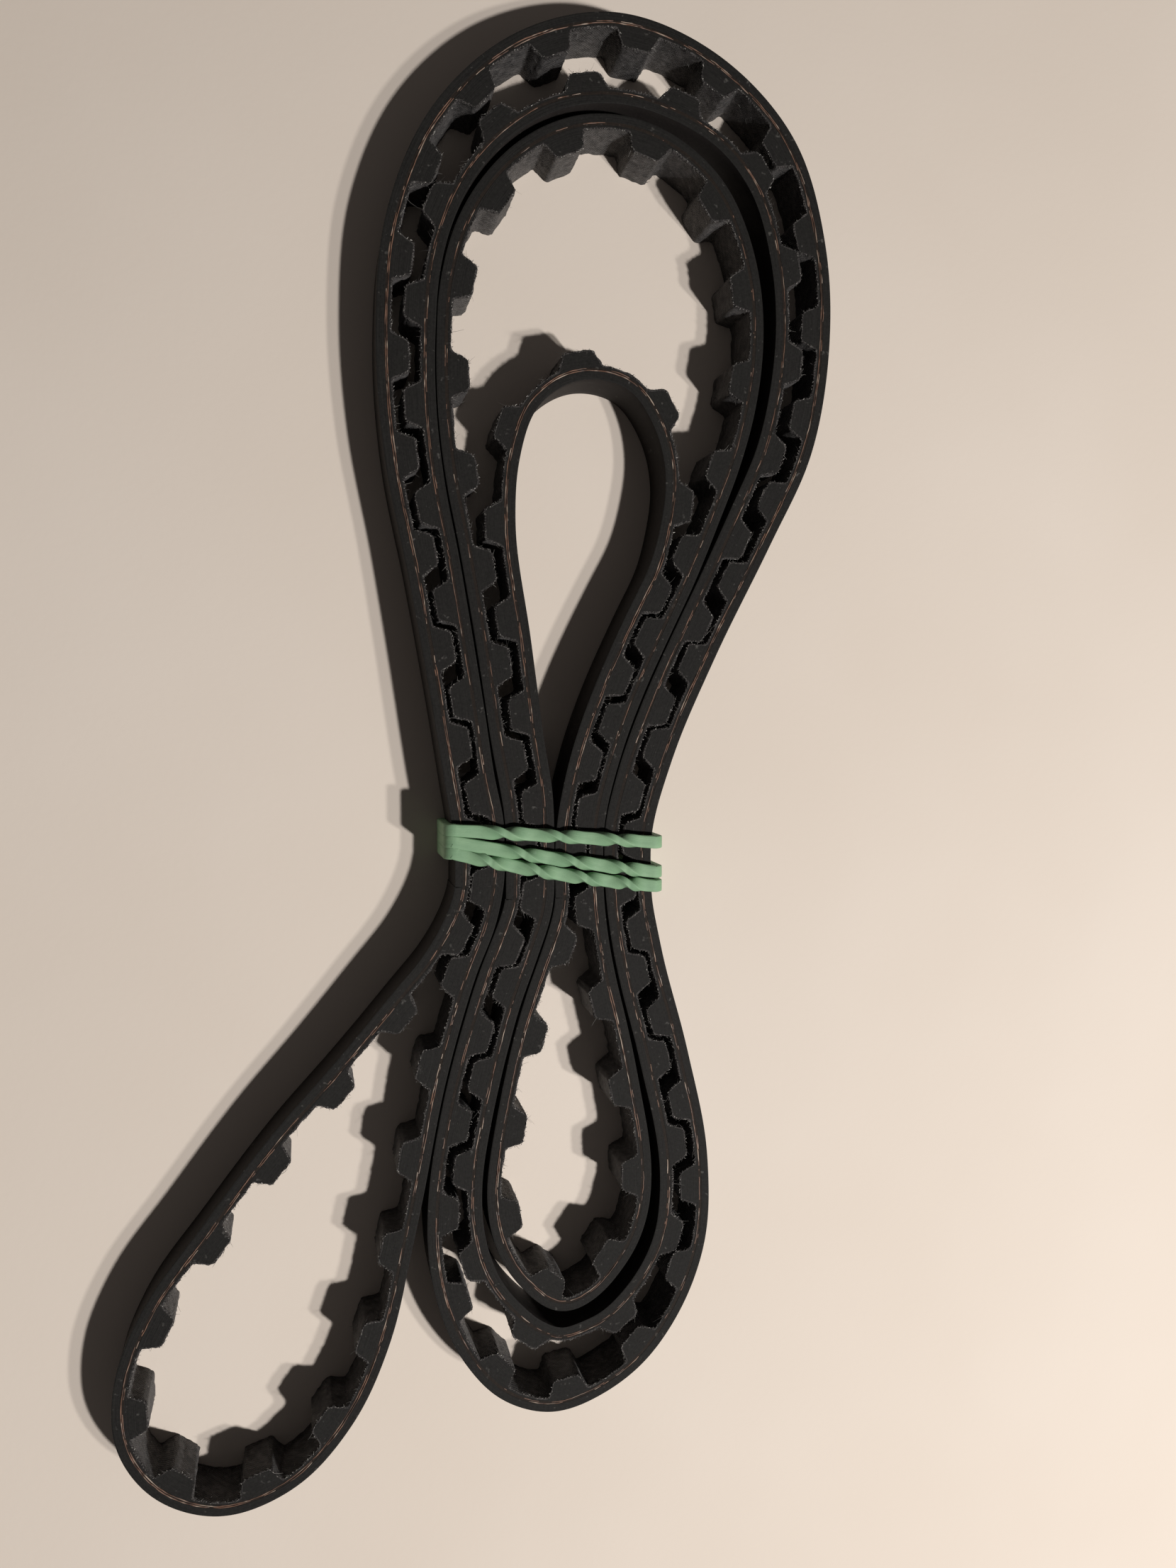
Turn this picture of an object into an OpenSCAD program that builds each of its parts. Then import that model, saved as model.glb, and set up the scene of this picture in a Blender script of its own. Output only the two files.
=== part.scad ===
// Timing belt: one endless toothed belt, folded into a long bundle and tied
// round the waist with a rubber band wound three times. Millimetres, +Z up,
// the belt stands on its cut edge. The belt crosses the waist eight times, and
// its eight turns are built layer by layer: rubber backing, tensile cords,
// rubber teeth and the fabric facing that covers the teeth.

/* [Belt section] */
// Distance from tooth to tooth along the cord line
pitch = 12.7; // [8:0.1:20]
// Width of the belt, which is its height as it stands on edge
belt_w = 7.6; // [4:0.1:25]
// Height of a tooth above the land
tooth_h = 2.3; // [1.2:0.05:3.5]
// Width of a tooth where it meets the land
tooth_root_w = 5.9; // [3:0.1:9]
// Width of a tooth at its tip, before the corners are rounded
tooth_tip_w = 4.3; // [2:0.1:7]
// Radius of the two tip corners of a tooth
tip_r = 0.9; // [0.6:0.05:1.2]
// Depth from the cord line to the land between two teeth
land_depth = 0.7; // [0.6:0.05:1.5]
// Depth from the cord line to the smooth back
back_depth = 1.3; // [0.8:0.05:3]
// Thickness of the layer of tensile cords
cord_t = 0.44; // [0.2:0.02:1]
// Thickness of the fabric facing over the teeth
facing_t = 0.26; // [0.15:0.02:0.4]

/* [Folding] */
// How far the upper turns reach above the waist
upper_len = 111; // [90:1:160]
// How far the lower turns reach below the waist
lower_len = 88; // [70:1:130]
// Clearance between tooth tips and the facing land where turns interlock
mesh_gap = 0.4; // [0.3:0.05:1]
// Clearance between two backs that lie against each other
back_gap = 0.14; // [0.1:0.02:0.5]
// Slit under the waist, where the lower turns flex against the upper ones
joint_gap = 0.3; // [0.2:0.05:0.8]

/* [Rubber band] */
// Width of the band
band_w = 1.7; // [1:0.1:4]
// Thickness of the stretched band
band_t = 0.7; // [0.4:0.05:1.5]
// Clearance between the band and the bundle
band_gap = 0.25; // [0.2:0.05:0.6]
// Slant of the upper turn across the bundle, in degrees
slant_1 = 4; // [0:0.5:12]
// Slant of the middle turn
slant_2 = 7.5; // [0:0.5:12]
// Slant of the lower turn
slant_3 = 9.5; // [0:0.5:12]
// Height at which the three turns bunch together at the left, above the waist
bunch_y = 1.7; // [0:0.1:4]
// Step from turn to turn where they bunch, less than the width so they touch
bunch_step = 1.35; // [0.5:0.05:1.5]

/* [Hidden] */
$fn = 48;
mesh = 2 * land_depth + tooth_h + mesh_gap;
backs = 2 * back_depth + back_gap;
belt_z = band_t + band_gap;

// Cord lines of the eight strands at the waist, from left to right
half_waist = (4 * mesh + 3 * backs) / 2;
strand = [for (i = [0:7]) -half_waist + ceil(i / 2) * mesh + floor(i / 2) * backs];
waist_l = strand[0];
waist_r = strand[7];

// Middle of a land on each strand, from which its teeth are counted
land_y = pitch * [-0.32, 0.16, -0.47, 0.04, -0.47, -0.08, 0.16, -0.36];

// Where the belt is cut into its upper and lower turns
cut_y = -0.515 * pitch;

// Smooth line through a few points, given its directions at both ends
function unit(v) = v / norm(v);
function bend(p, i) = let (a = norm(p[i] - p[i - 1]), b = norm(p[i + 1] - p[i]))
    ((p[i] - p[i - 1]) / a * b + (p[i + 1] - p[i]) / b * a) / (a + b);
function bends(p, d0, d1) = let (last = len(p) - 1)
    [for (i = [0:last]) i == 0 ? d0 : i == last ? d1 : bend(p, i)];
function blend(p, q, m, n, t) = let (d = norm(q - p))
    (2 * t ^ 3 - 3 * t ^ 2 + 1) * p + (t ^ 3 - 2 * t ^ 2 + t) * d * m
    + (3 * t ^ 2 - 2 * t ^ 3) * q + (t ^ 3 - t ^ 2) * d * n;
function smooth(p, d0, d1, n = 9) = let (m = bends(p, d0, d1))
    concat([for (i = [0:len(p) - 2], k = [0:n - 1]) blend(p[i], p[i + 1], m[i], m[i + 1], k / n)],
           [p[len(p) - 1]]);
// A turn runs on straight for one more tooth at both ends, to be cut there
function turn(p, up) = track(concat([p[0] - [0, up * pitch]], smooth(p, [0, up], [0, -up]),
    [p[len(p) - 1] - [0, up * pitch]]));

// A track is its length and its x and y against the distance run
function track(p) = let (last = len(p) - 1,
    run = [for (i = 0, s = 0; i <= last; s = s + (i < last ? norm(p[i + 1] - p[i]) : 0), i = i + 1) s])
    [run[last], [for (i = [0:last]) [run[i], p[i][0]]], [for (i = [0:last]) [run[i], p[i][1]]]];
function at(t, s) = [lookup(s, t[1]), lookup(s, t[2])];
function right_of(t, s) = let (d = unit(at(t, min(s + 0.6, t[0])) - at(t, max(s - 0.6, 0))))
    [d[1], -d[0]];
function off(t, s, d) = at(t, s) + d * right_of(t, s);

// A point beside the part of a turn between its two straight ends
function by(t, f, d) = off(t, pitch + f * (t[0] - 2 * pitch), d);

// Points beside a track: the extra gaps are spread evenly along it and eased
function ease(g, f) = let (n = len(g) - 1, x = f * n, i = min(floor(x), n - 1), t = x - i,
    a = g[max(i - 1, 0)], b = g[i], c = g[i + 1], d = g[min(i + 2, n)])
    b + t * (c - a) / 2 + t ^ 2 * (a - 2.5 * b + 2 * c - d / 2) + t ^ 3 * (1.5 * (b - c) + (d - a) / 2);
function beside(t, d, gaps, f0 = 0.05, f1 = 0.95, n = 24) =
    [for (i = [0:n]) let (f = f0 + (f1 - f0) * i / n) by(t, f, d + sign(d) * ease(gaps, f))];

// The eight turns. Upper turns run from left to right over the top, lower turns
// from left to right round the bottom. Inner turns follow the one outside them.
u = upper_len / 111;
l = lower_len / 88;
function land(i) = [strand[i], land_y[i]];
function above(i) = [strand[i], max(land_y[i], 0) + 2];
function below(i) = [strand[i], min(land_y[i], 0) - 2];

lower_outer = turn([land(2), [strand[2] - 0.4, -7.5], [strand[2] - 1.5, -10.5], [strand[2] - 3.7, -16],
    [strand[2] - 5.9, -23 * l], [strand[2] - 9.1, -36 * l], [strand[2] - 10.6, -46 * l],
    [strand[2] - 10.8, -53 * l], [strand[2] - 9.7, -60.5 * l], [strand[2] - 6, -69.5 * l],
    [-6.6, -75.1 * l], [0, -77.6 * l], [6.9, -75.8 * l], [waist_r - 0.4, -72.6 * l],
    [waist_r + 4.2, -67 * l], [waist_r + 8.4, -56.8 * l], [waist_r + 8.8, -44.3 * l],
    [waist_r + 5.6, -28.6 * l], [waist_r + 1.4, -13 * l], land(7)], -1);
lower_middle = turn(concat([land(3), [strand[3], -2.5], [strand[3], -5.5]],
    beside(lower_outer, -mesh, [0.15, 0.2, 0.4, 0.6, 2.1, 4.9, 5.3, 3.3, 1.3, 0.5, 0.4, 0.2, 0], 0.045),
    [below(6), land(6)]), -1);
lower_inner = turn(concat([land(4)],
    beside(lower_middle, -backs, [0, 0.1, 0.2, 0.5, 0.6, 1.4, 2, 2, 1.2, 0.8, 0.3, 0.2, 0]),
    [below(5), land(5)]), -1);

// The side turn leans against the outer one up to the waist
lower_side = turn(concat([land(0), [waist_l - 0.8, -7], [waist_l - 3.3, -12],
    [waist_l - 9.1, -19.2 * l], [waist_l - 16.6, -28 * l], [waist_l - 24, -36.2 * l],
    [waist_l - 33.7, -48.6 * l], [waist_l - 40.8, -58.3 * l], [waist_l - 44.4, -67.5 * l],
    [waist_l - 44.3, -75.5 * l], [waist_l - 40, -82.3 * l], [waist_l - 32.6, -85.6 * l],
    [-36.2, -83.3 * l], [-28.9, -76 * l], [-23.9, -65.5 * l], [-21.1, -54 * l]],
    [for (i = [0:5]) let (f = 0.24 - 0.035 * i) by(lower_outer, f,
        backs + (i == 0 ? 0.3 : 0.1))],
    [by(lower_outer, 0.028, backs + 0.05), [strand[1], -3], land(1)]), -1);

upper_outer = turn([land(0), above(0), [waist_l - 0.8, 7], [waist_l - 2.8, 20 * u],
    [waist_l - 5.7, 37 * u], [waist_l - 8.7, 53 * u], [waist_l - 9.6, 68 * u],
    [waist_l - 8.1, 83 * u], [waist_l - 2.2, 96.5 * u], [-3, 107 * u], [9, 110.5 * u],
    [21.6, 107.3 * u], [waist_r + 20.7, 97.5 * u], [waist_r + 25.4, 83.8 * u],
    [waist_r + 26, 69 * u], [waist_r + 23.5, 55.5 * u], [waist_r + 17.8, 43.6 * u],
    [waist_r + 9.2, 27 * u], [waist_r + 3, 13 * u], above(7), land(7)], 1);
upper_second = turn(concat([land(1), above(1)],
    beside(upper_outer, mesh, [0, 0.1, 0.4, 0.8, 1.6, 3.5, 5, 3, 1.6, 1.3, 0.4, 0.2, 0.05]),
    [land(6)]), 1);
upper_third = turn(concat([land(2), [strand[2], 4]],
    beside(upper_second, backs, [0, 0.3, 0.3, 0.15, 0.15, 0.9, 1.3, 2.5, 1.7, 1.3, 0.2, 0.1, 0],
        0.06), [above(5), land(5)]), 1);
upper_inner = turn(concat([land(3), above(3)],
    [for (f = [0.06:0.03:0.17]) by(upper_third, f, mesh + 5 * f)],
    [[-6.4, 45.5 * u], [-5.8, 53 * u], [-2.8, 61 * u], [4, 65.1 * u], [11, 64.1 * u],
     [15.6, 58 * u], [17.1, 51 * u], [16.3, 44.5 * u]],
    [for (f = [0.82:0.03:0.95]) by(upper_third, f, mesh + 0.1)],
    [above(4), land(4)]), 1);

// Teeth on each turn: the count is what fits, from waist to waist
function teeth(t) = round(t[0] / pitch);
function step(t) = t[0] / teeth(t);

// One tooth outline, as distance along and height above the land, drawn in by
// the thickness of what covers it
function tooth(c) = let (w = tooth_root_w / 2 - 0.7 * c, lean = (tooth_root_w - tooth_tip_w) / 2 / tooth_h,
    r = tip_r - c, top = tooth_h - c, edge = w - (top + c) * lean - 0.8 * r,
    half = concat([[-w - 0.45, -c], [-w - 0.12, 0.12 - c], [-w + 0.1, 0.45 - c]],
        [for (a = [165, 140, 115, 90]) [-edge + r * cos(a), top - r + r * sin(a)]]))
    concat(half, [for (i = [len(half) - 1:-1:0]) [-half[i][0], half[i][1]]]);

// Toothed line of a turn; side is 1 for teeth on the right of the run, else -1
function toothed(t, side, c) = let (n = teeth(t), p = step(t), o = tooth(c), w = -o[0][0],
    d = side * (land_depth - c))
    concat([for (k = [0:n - 1]) let (s = (k + 0.5) * p, a = off(t, s - w, d), b = off(t, s + w, d),
        x = (b - a) / (2 * w), y = side * [x[1], -x[0]], m = (a + b) / 2)
        each concat([off(t, k * p, d), off(t, (k * p + s - w) / 2, d)],
            [for (q = o) m + x * q[0] + y * (q[1] + c)],
            [off(t, (k * p + p + s + w) / 2, d)])], [off(t, t[0], d)]);
function even(t, side, d) = let (n = teeth(t) * 8) [for (i = [0:n]) off(t, t[0] * i / n, side * d)];
function back_to_front(p) = [for (i = [len(p) - 1:-1:0]) p[i]];

// The stretch of a line on one side of the cut, up being 1 above it, else -1
function kept(p, up) = let (c = cut_y + up * joint_gap / 2, last = len(p) - 1)
    [for (i = [0:last]) let (a = p[i], b = p[min(i + 1, last)], in_a = up * (a[1] - c) > 0,
        in_b = up * (b[1] - c) > 0)
        each concat(in_a ? [a] : [], in_a != in_b ? [a + (b - a) * (c - a[1]) / (b[1] - a[1])] : [])];

module slab(one, other, up) translate([0, 0, belt_z]) linear_extrude(belt_w)
    polygon(concat(kept(one, up), back_to_front(kept(other, up))));

module backing(t, side, up) color([0.13, 0.13, 0.125])
    slab(even(t, side, -back_depth), even(t, side, -cord_t / 2), up);
module cords(t, side, up) color([0.72, 0.42, 0.26])
    slab(even(t, side, -cord_t / 2), even(t, side, cord_t / 2), up);
module rubber_teeth(t, side, up) color([0.16, 0.16, 0.155])
    slab(even(t, side, cord_t / 2), toothed(t, side, facing_t), up);
module facing(t, side, up) color([0.32, 0.33, 0.33])
    slab(toothed(t, side, facing_t), toothed(t, side, 0), up);

module rubber_band() color([0.62, 0.86, 0.68]) {
    in_h = belt_w + 2 * band_gap;
    slants = [slant_1, slant_2, slant_3];
    for (i = [0:2]) {
        s = slants[i];
        in_w = (2 * (half_waist + back_depth + band_gap) + band_w * sin(s)) / cos(s);
        translate([0, bunch_y + (1 - i) * bunch_step - in_w / 2 * sin(s), band_t + in_h / 2])
            rotate([0, 0, -s]) rotate([90, 0, 0]) translate([0, 0, -band_w / 2])
                linear_extrude(band_w) difference() {
                    round_box(in_w + 2 * band_t, in_h + 2 * band_t, band_t + 0.3);
                    round_box(in_w, in_h, 0.3);
                }
    }
}

module round_box(w, h, r) {
    square([w - 2 * r, h], center = true);
    square([w, h - 2 * r], center = true);
    for (x = [-1, 1], y = [-1, 1]) translate([x * (w / 2 - r), y * (h / 2 - r)]) circle(r);
}

module backing_upper_outer() backing(upper_outer, 1, 1);
module cords_upper_outer() cords(upper_outer, 1, 1);
module teeth_upper_outer() rubber_teeth(upper_outer, 1, 1);
module facing_upper_outer() facing(upper_outer, 1, 1);
module backing_upper_second() backing(upper_second, -1, 1);
module cords_upper_second() cords(upper_second, -1, 1);
module teeth_upper_second() rubber_teeth(upper_second, -1, 1);
module facing_upper_second() facing(upper_second, -1, 1);
module backing_upper_third() backing(upper_third, 1, 1);
module cords_upper_third() cords(upper_third, 1, 1);
module teeth_upper_third() rubber_teeth(upper_third, 1, 1);
module facing_upper_third() facing(upper_third, 1, 1);
module backing_upper_inner() backing(upper_inner, -1, 1);
module cords_upper_inner() cords(upper_inner, -1, 1);
module teeth_upper_inner() rubber_teeth(upper_inner, -1, 1);
module facing_upper_inner() facing(upper_inner, -1, 1);
module backing_lower_outer() backing(lower_outer, -1, -1);
module cords_lower_outer() cords(lower_outer, -1, -1);
module teeth_lower_outer() rubber_teeth(lower_outer, -1, -1);
module facing_lower_outer() facing(lower_outer, -1, -1);
module backing_lower_middle() backing(lower_middle, 1, -1);
module cords_lower_middle() cords(lower_middle, 1, -1);
module teeth_lower_middle() rubber_teeth(lower_middle, 1, -1);
module facing_lower_middle() facing(lower_middle, 1, -1);
module backing_lower_inner() backing(lower_inner, -1, -1);
module cords_lower_inner() cords(lower_inner, -1, -1);
module teeth_lower_inner() rubber_teeth(lower_inner, -1, -1);
module facing_lower_inner() facing(lower_inner, -1, -1);
module backing_lower_side() backing(lower_side, -1, -1);
module cords_lower_side() cords(lower_side, -1, -1);
module teeth_lower_side() rubber_teeth(lower_side, -1, -1);
module facing_lower_side() facing(lower_side, -1, -1);

backing_upper_outer();
cords_upper_outer();
teeth_upper_outer();
facing_upper_outer();
backing_upper_second();
cords_upper_second();
teeth_upper_second();
facing_upper_second();
backing_upper_third();
cords_upper_third();
teeth_upper_third();
facing_upper_third();
backing_upper_inner();
cords_upper_inner();
teeth_upper_inner();
facing_upper_inner();
backing_lower_outer();
cords_lower_outer();
teeth_lower_outer();
facing_lower_outer();
backing_lower_middle();
cords_lower_middle();
teeth_lower_middle();
facing_lower_middle();
backing_lower_inner();
cords_lower_inner();
teeth_lower_inner();
facing_lower_inner();
backing_lower_side();
cords_lower_side();
teeth_lower_side();
facing_lower_side();
rubber_band();
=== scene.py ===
"""Looks of a timing belt folded into a bundle and tied with a thin rubber band.

The belt's eight turns follow the sizes of the CAD part, in millimetres, and are meshed
finely: rubber backing, tensile cords, rubber teeth and woven facing. Two things differ
from the CAD solids: away from the waist the loops sag onto the paper, and the third
upper turn lies up to 0.2 mm nearer the second, with the inner one laid out from it.
"""

import logging
import math
from dataclasses import dataclass, field
from enum import Enum
from typing import ClassVar

import bpy
import numpy as np
from mathutils import Matrix, Vector


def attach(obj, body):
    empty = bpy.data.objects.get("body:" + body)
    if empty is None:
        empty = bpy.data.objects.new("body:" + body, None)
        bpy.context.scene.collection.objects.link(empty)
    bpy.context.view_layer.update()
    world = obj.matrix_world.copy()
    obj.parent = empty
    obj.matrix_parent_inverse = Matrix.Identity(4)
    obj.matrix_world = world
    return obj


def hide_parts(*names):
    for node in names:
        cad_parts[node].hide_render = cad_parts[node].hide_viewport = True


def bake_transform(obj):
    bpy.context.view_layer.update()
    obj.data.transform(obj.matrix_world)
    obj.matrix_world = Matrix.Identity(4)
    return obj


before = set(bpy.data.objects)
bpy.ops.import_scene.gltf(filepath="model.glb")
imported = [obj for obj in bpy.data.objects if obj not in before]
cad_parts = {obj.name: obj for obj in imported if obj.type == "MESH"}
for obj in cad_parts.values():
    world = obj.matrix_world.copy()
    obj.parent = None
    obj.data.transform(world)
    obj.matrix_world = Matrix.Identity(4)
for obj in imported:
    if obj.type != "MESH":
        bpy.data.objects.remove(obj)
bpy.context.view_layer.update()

LOG = logging.getLogger("timing_belt")
MM = 0.001
Point = tuple[float, float]
Colour = tuple[float, float, float, float]
Faces = list[list[int]]
Facts = dict[str, np.ndarray]
Station = tuple[float, float, float, float, float, float | None]


@dataclass(frozen=True)
class Section:
    """Sizes of the belt's section and of its fold, in millimetres.

    Attributes:
        pitch: distance between two teeth along the cords.
        width: width of the belt, which is its height as it stands.
        tooth_h: height of a tooth above the land.
        tooth_root: width of a tooth at the land.
        tooth_tip: width of a tooth at its tip.
        tip_r: radius of the tip's corners.
        land: depth from the cord line to the land.
        back: depth from the cord line to the back.
        cord: thickness of the layer of cords.
        facing: thickness of the woven facing.
        mesh_gap: clearance between two turns whose teeth interlock.
        back_gap: clearance between two turns lying back to back.
        lift: height of the belt over the paper at the waist.
    """

    pitch: float = 12.7
    width: float = 7.6
    tooth_h: float = 2.3
    tooth_root: float = 5.9
    tooth_tip: float = 4.3
    tip_r: float = 0.9
    land: float = 0.7
    back: float = 1.3
    cord: float = 0.44
    facing: float = 0.26
    mesh_gap: float = 0.4
    back_gap: float = 0.14
    lift: float = 0.95

    @property
    def mesh(self) -> float:
        """Distance between the cord lines of two turns whose teeth interlock."""
        return 2 * self.land + self.tooth_h + self.mesh_gap

    @property
    def backs(self) -> float:
        """Distance between the cord lines of two turns lying back to back."""
        return 2 * self.back + self.back_gap

    @property
    def top(self) -> float:
        """Height of the upper cut edge."""
        return self.lift + self.width


SECTION = Section()
# Where the CAD part's lower turns end, and the middle of a land on each strand
LAND_Y = [SECTION.pitch * k for k in (-0.32, 0.16, -0.47, 0.04, -0.47, -0.08, 0.16, -0.36)]
HALF_WAIST = (4 * SECTION.mesh + 3 * SECTION.backs) / 2
STRAND = [
    -HALF_WAIST + math.ceil(i / 2) * SECTION.mesh + (i // 2) * SECTION.backs for i in range(8)
]
WAIST_L, WAIST_R = STRAND[0], STRAND[7]


class Track:
    """A line in the plan, measured by the distance run along it."""

    def __init__(self, points: np.ndarray) -> None:
        """Measures the line.

        Args:
            points: the line's points, in millimetres.
        """
        self.points = np.asarray(points, float)
        steps = np.linalg.norm(np.diff(self.points, axis=0), axis=1)
        self.run = np.concatenate([[0.0], np.cumsum(steps)])

    @property
    def length(self) -> float:
        """Length of the whole line."""
        return float(self.run[-1])

    def at(self, s: np.ndarray | float) -> np.ndarray:
        """Points at distances s along the line."""
        s = np.asarray(s, float)
        return np.stack([np.interp(s, self.run, self.points[:, i]) for i in (0, 1)], -1)

    def right_of(self, s: np.ndarray | float, reach: float = 0.6) -> np.ndarray:
        """Unit vectors to the right of the run.

        Args:
            s: distances along the line.
            reach: how far to each side the direction is taken over.

        Returns:
            One vector for each distance.
        """
        s = np.asarray(s, float)
        d = self.at(np.minimum(s + reach, self.length)) - self.at(np.maximum(s - reach, 0.0))
        d = d / np.linalg.norm(d, axis=-1, keepdims=True)
        return np.stack([d[..., 1], -d[..., 0]], -1)

    def off(self, s: np.ndarray | float, d: np.ndarray | float) -> np.ndarray:
        """Points at distances s, moved d to the right."""
        return self.at(s) + np.asarray(d, float)[..., None] * self.right_of(s)

    def by(self, share: float, d: float) -> np.ndarray:
        """A point beside the part of a turn between its two straight ends.

        Args:
            share: share of the way along that part.
            d: distance to the right.

        Returns:
            The point.
        """
        inner = self.length - 2 * SECTION.pitch
        return self.off(SECTION.pitch + share * inner, d)

    def smoothed(self, step: float = 0.2, spread: float = 1.3) -> "Track":
        """The same line on close points, its corners softened.

        Args:
            step: distance between the points.
            spread: distance over which corners are softened.

        Returns:
            The new line.
        """
        s = np.linspace(0.0, self.length, int(self.length / step) + 1)
        p = self.at(s)
        half = int(3 * spread / step)
        weights = np.exp(-0.5 * (np.arange(-half, half + 1) * step / spread) ** 2)
        weights /= weights.sum()
        soft = p.copy()
        for axis in (0, 1):
            soft[half:-half, axis] = np.convolve(p[:, axis], weights, mode="valid")
        return Track(soft)


def spline(points: list[Point | np.ndarray], first: Point, last: Point, steps: int = 9) -> np.ndarray:
    """A smooth line through a few points.

    Args:
        points: the points, in order.
        first: direction at the first point.
        last: direction at the last point.
        steps: pieces to each span.

    Returns:
        The points of the line.
    """
    p = np.array([np.asarray(q, float) for q in points])
    m = np.zeros_like(p)
    m[0], m[-1] = first, last
    for i in range(1, len(p) - 1):
        u, v = p[i] - p[i - 1], p[i + 1] - p[i]
        a, b = np.linalg.norm(u), np.linalg.norm(v)
        m[i] = (u / a * b + v / b * a) / (a + b)
    out = []
    for i in range(len(p) - 1):
        d = np.linalg.norm(p[i + 1] - p[i])
        for t in np.arange(steps) / steps:
            out.append(
                (2 * t**3 - 3 * t**2 + 1) * p[i]
                + (t**3 - 2 * t**2 + t) * d * m[i]
                + (3 * t**2 - 2 * t**3) * p[i + 1]
                + (t**3 - t**2) * d * m[i + 1]
            )
    return np.array(out + [p[-1]])


def eased(gaps: list[float], share: float) -> float:
    """The extra gap part of the way along, eased through evenly spread values.

    Args:
        gaps: the extra gaps.
        share: share of the way.

    Returns:
        The gap there.
    """
    n = len(gaps) - 1
    i = min(int(share * n), n - 1)
    t = share * n - i
    a, b, c, d = gaps[max(i - 1, 0)], gaps[i], gaps[i + 1], gaps[min(i + 2, n)]
    return (
        b
        + t * (c - a) / 2
        + t**2 * (a - 2.5 * b + 2 * c - d / 2)
        + t**3 * (1.5 * (b - c) + (d - a) / 2)
    )


def beside(track: Track, d: float, gaps: list[float], f0: float = 0.05) -> list[np.ndarray]:
    """Points beside a track at distance d plus the eased extra gaps.

    Args:
        track: the turn to follow.
        d: distance to its right, or to its left if negative.
        gaps: extra gaps, spread evenly along it.
        f0: share of the way at which the points start.

    Returns:
        The points, up to the last share.
    """
    last, spans = 0.95, 24
    shares = [f0 + (last - f0) * i / spans for i in range(spans + 1)]
    return [track.by(f, d + math.copysign(eased(gaps, f), d)) for f in shares]


class Body(Enum):
    """The CAD bodies that pieces ride on."""

    UPPER = "upper_turns"
    LOWER = "lower_turns"
    SIDE = "side_turn"
    BAND = "rubber_band"


@dataclass
class Turn:
    """One turn of the belt, from the waist round a loop and back to the waist.

    Attributes:
        name: the turn's name in the CAD node names.
        line: its cord line, one pitch longer than the turn at each end.
        side: 1 with the teeth on the right of the run, -1 on the left.
        body: the body it belongs to.
        cord_shown: how far the cords stand clear of the cut edge, 0 to 1.
    """

    name: str
    line: Track
    side: int
    body: Body
    cord_shown: float = 0.6
    path: Track = field(init=False)
    start: float = field(init=False)
    step: float = field(init=False)
    teeth: int = field(init=False)

    def __post_init__(self) -> None:
        """Settles the smooth path and where its teeth stand."""
        self.path = self.line.smoothed()
        inner = self.path.length - 2 * SECTION.pitch
        self.start = SECTION.pitch
        self.teeth = round(inner / SECTION.pitch)
        self.step = inner / self.teeth

    def off(self, s: np.ndarray, d: float | np.ndarray) -> np.ndarray:
        """Points beside the turn's cord line.

        Args:
            s: distances along the turn.
            d: distance towards the teeth.

        Returns:
            The points.
        """
        return self.path.off(self.start + s, self.side * np.asarray(d, float))


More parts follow.
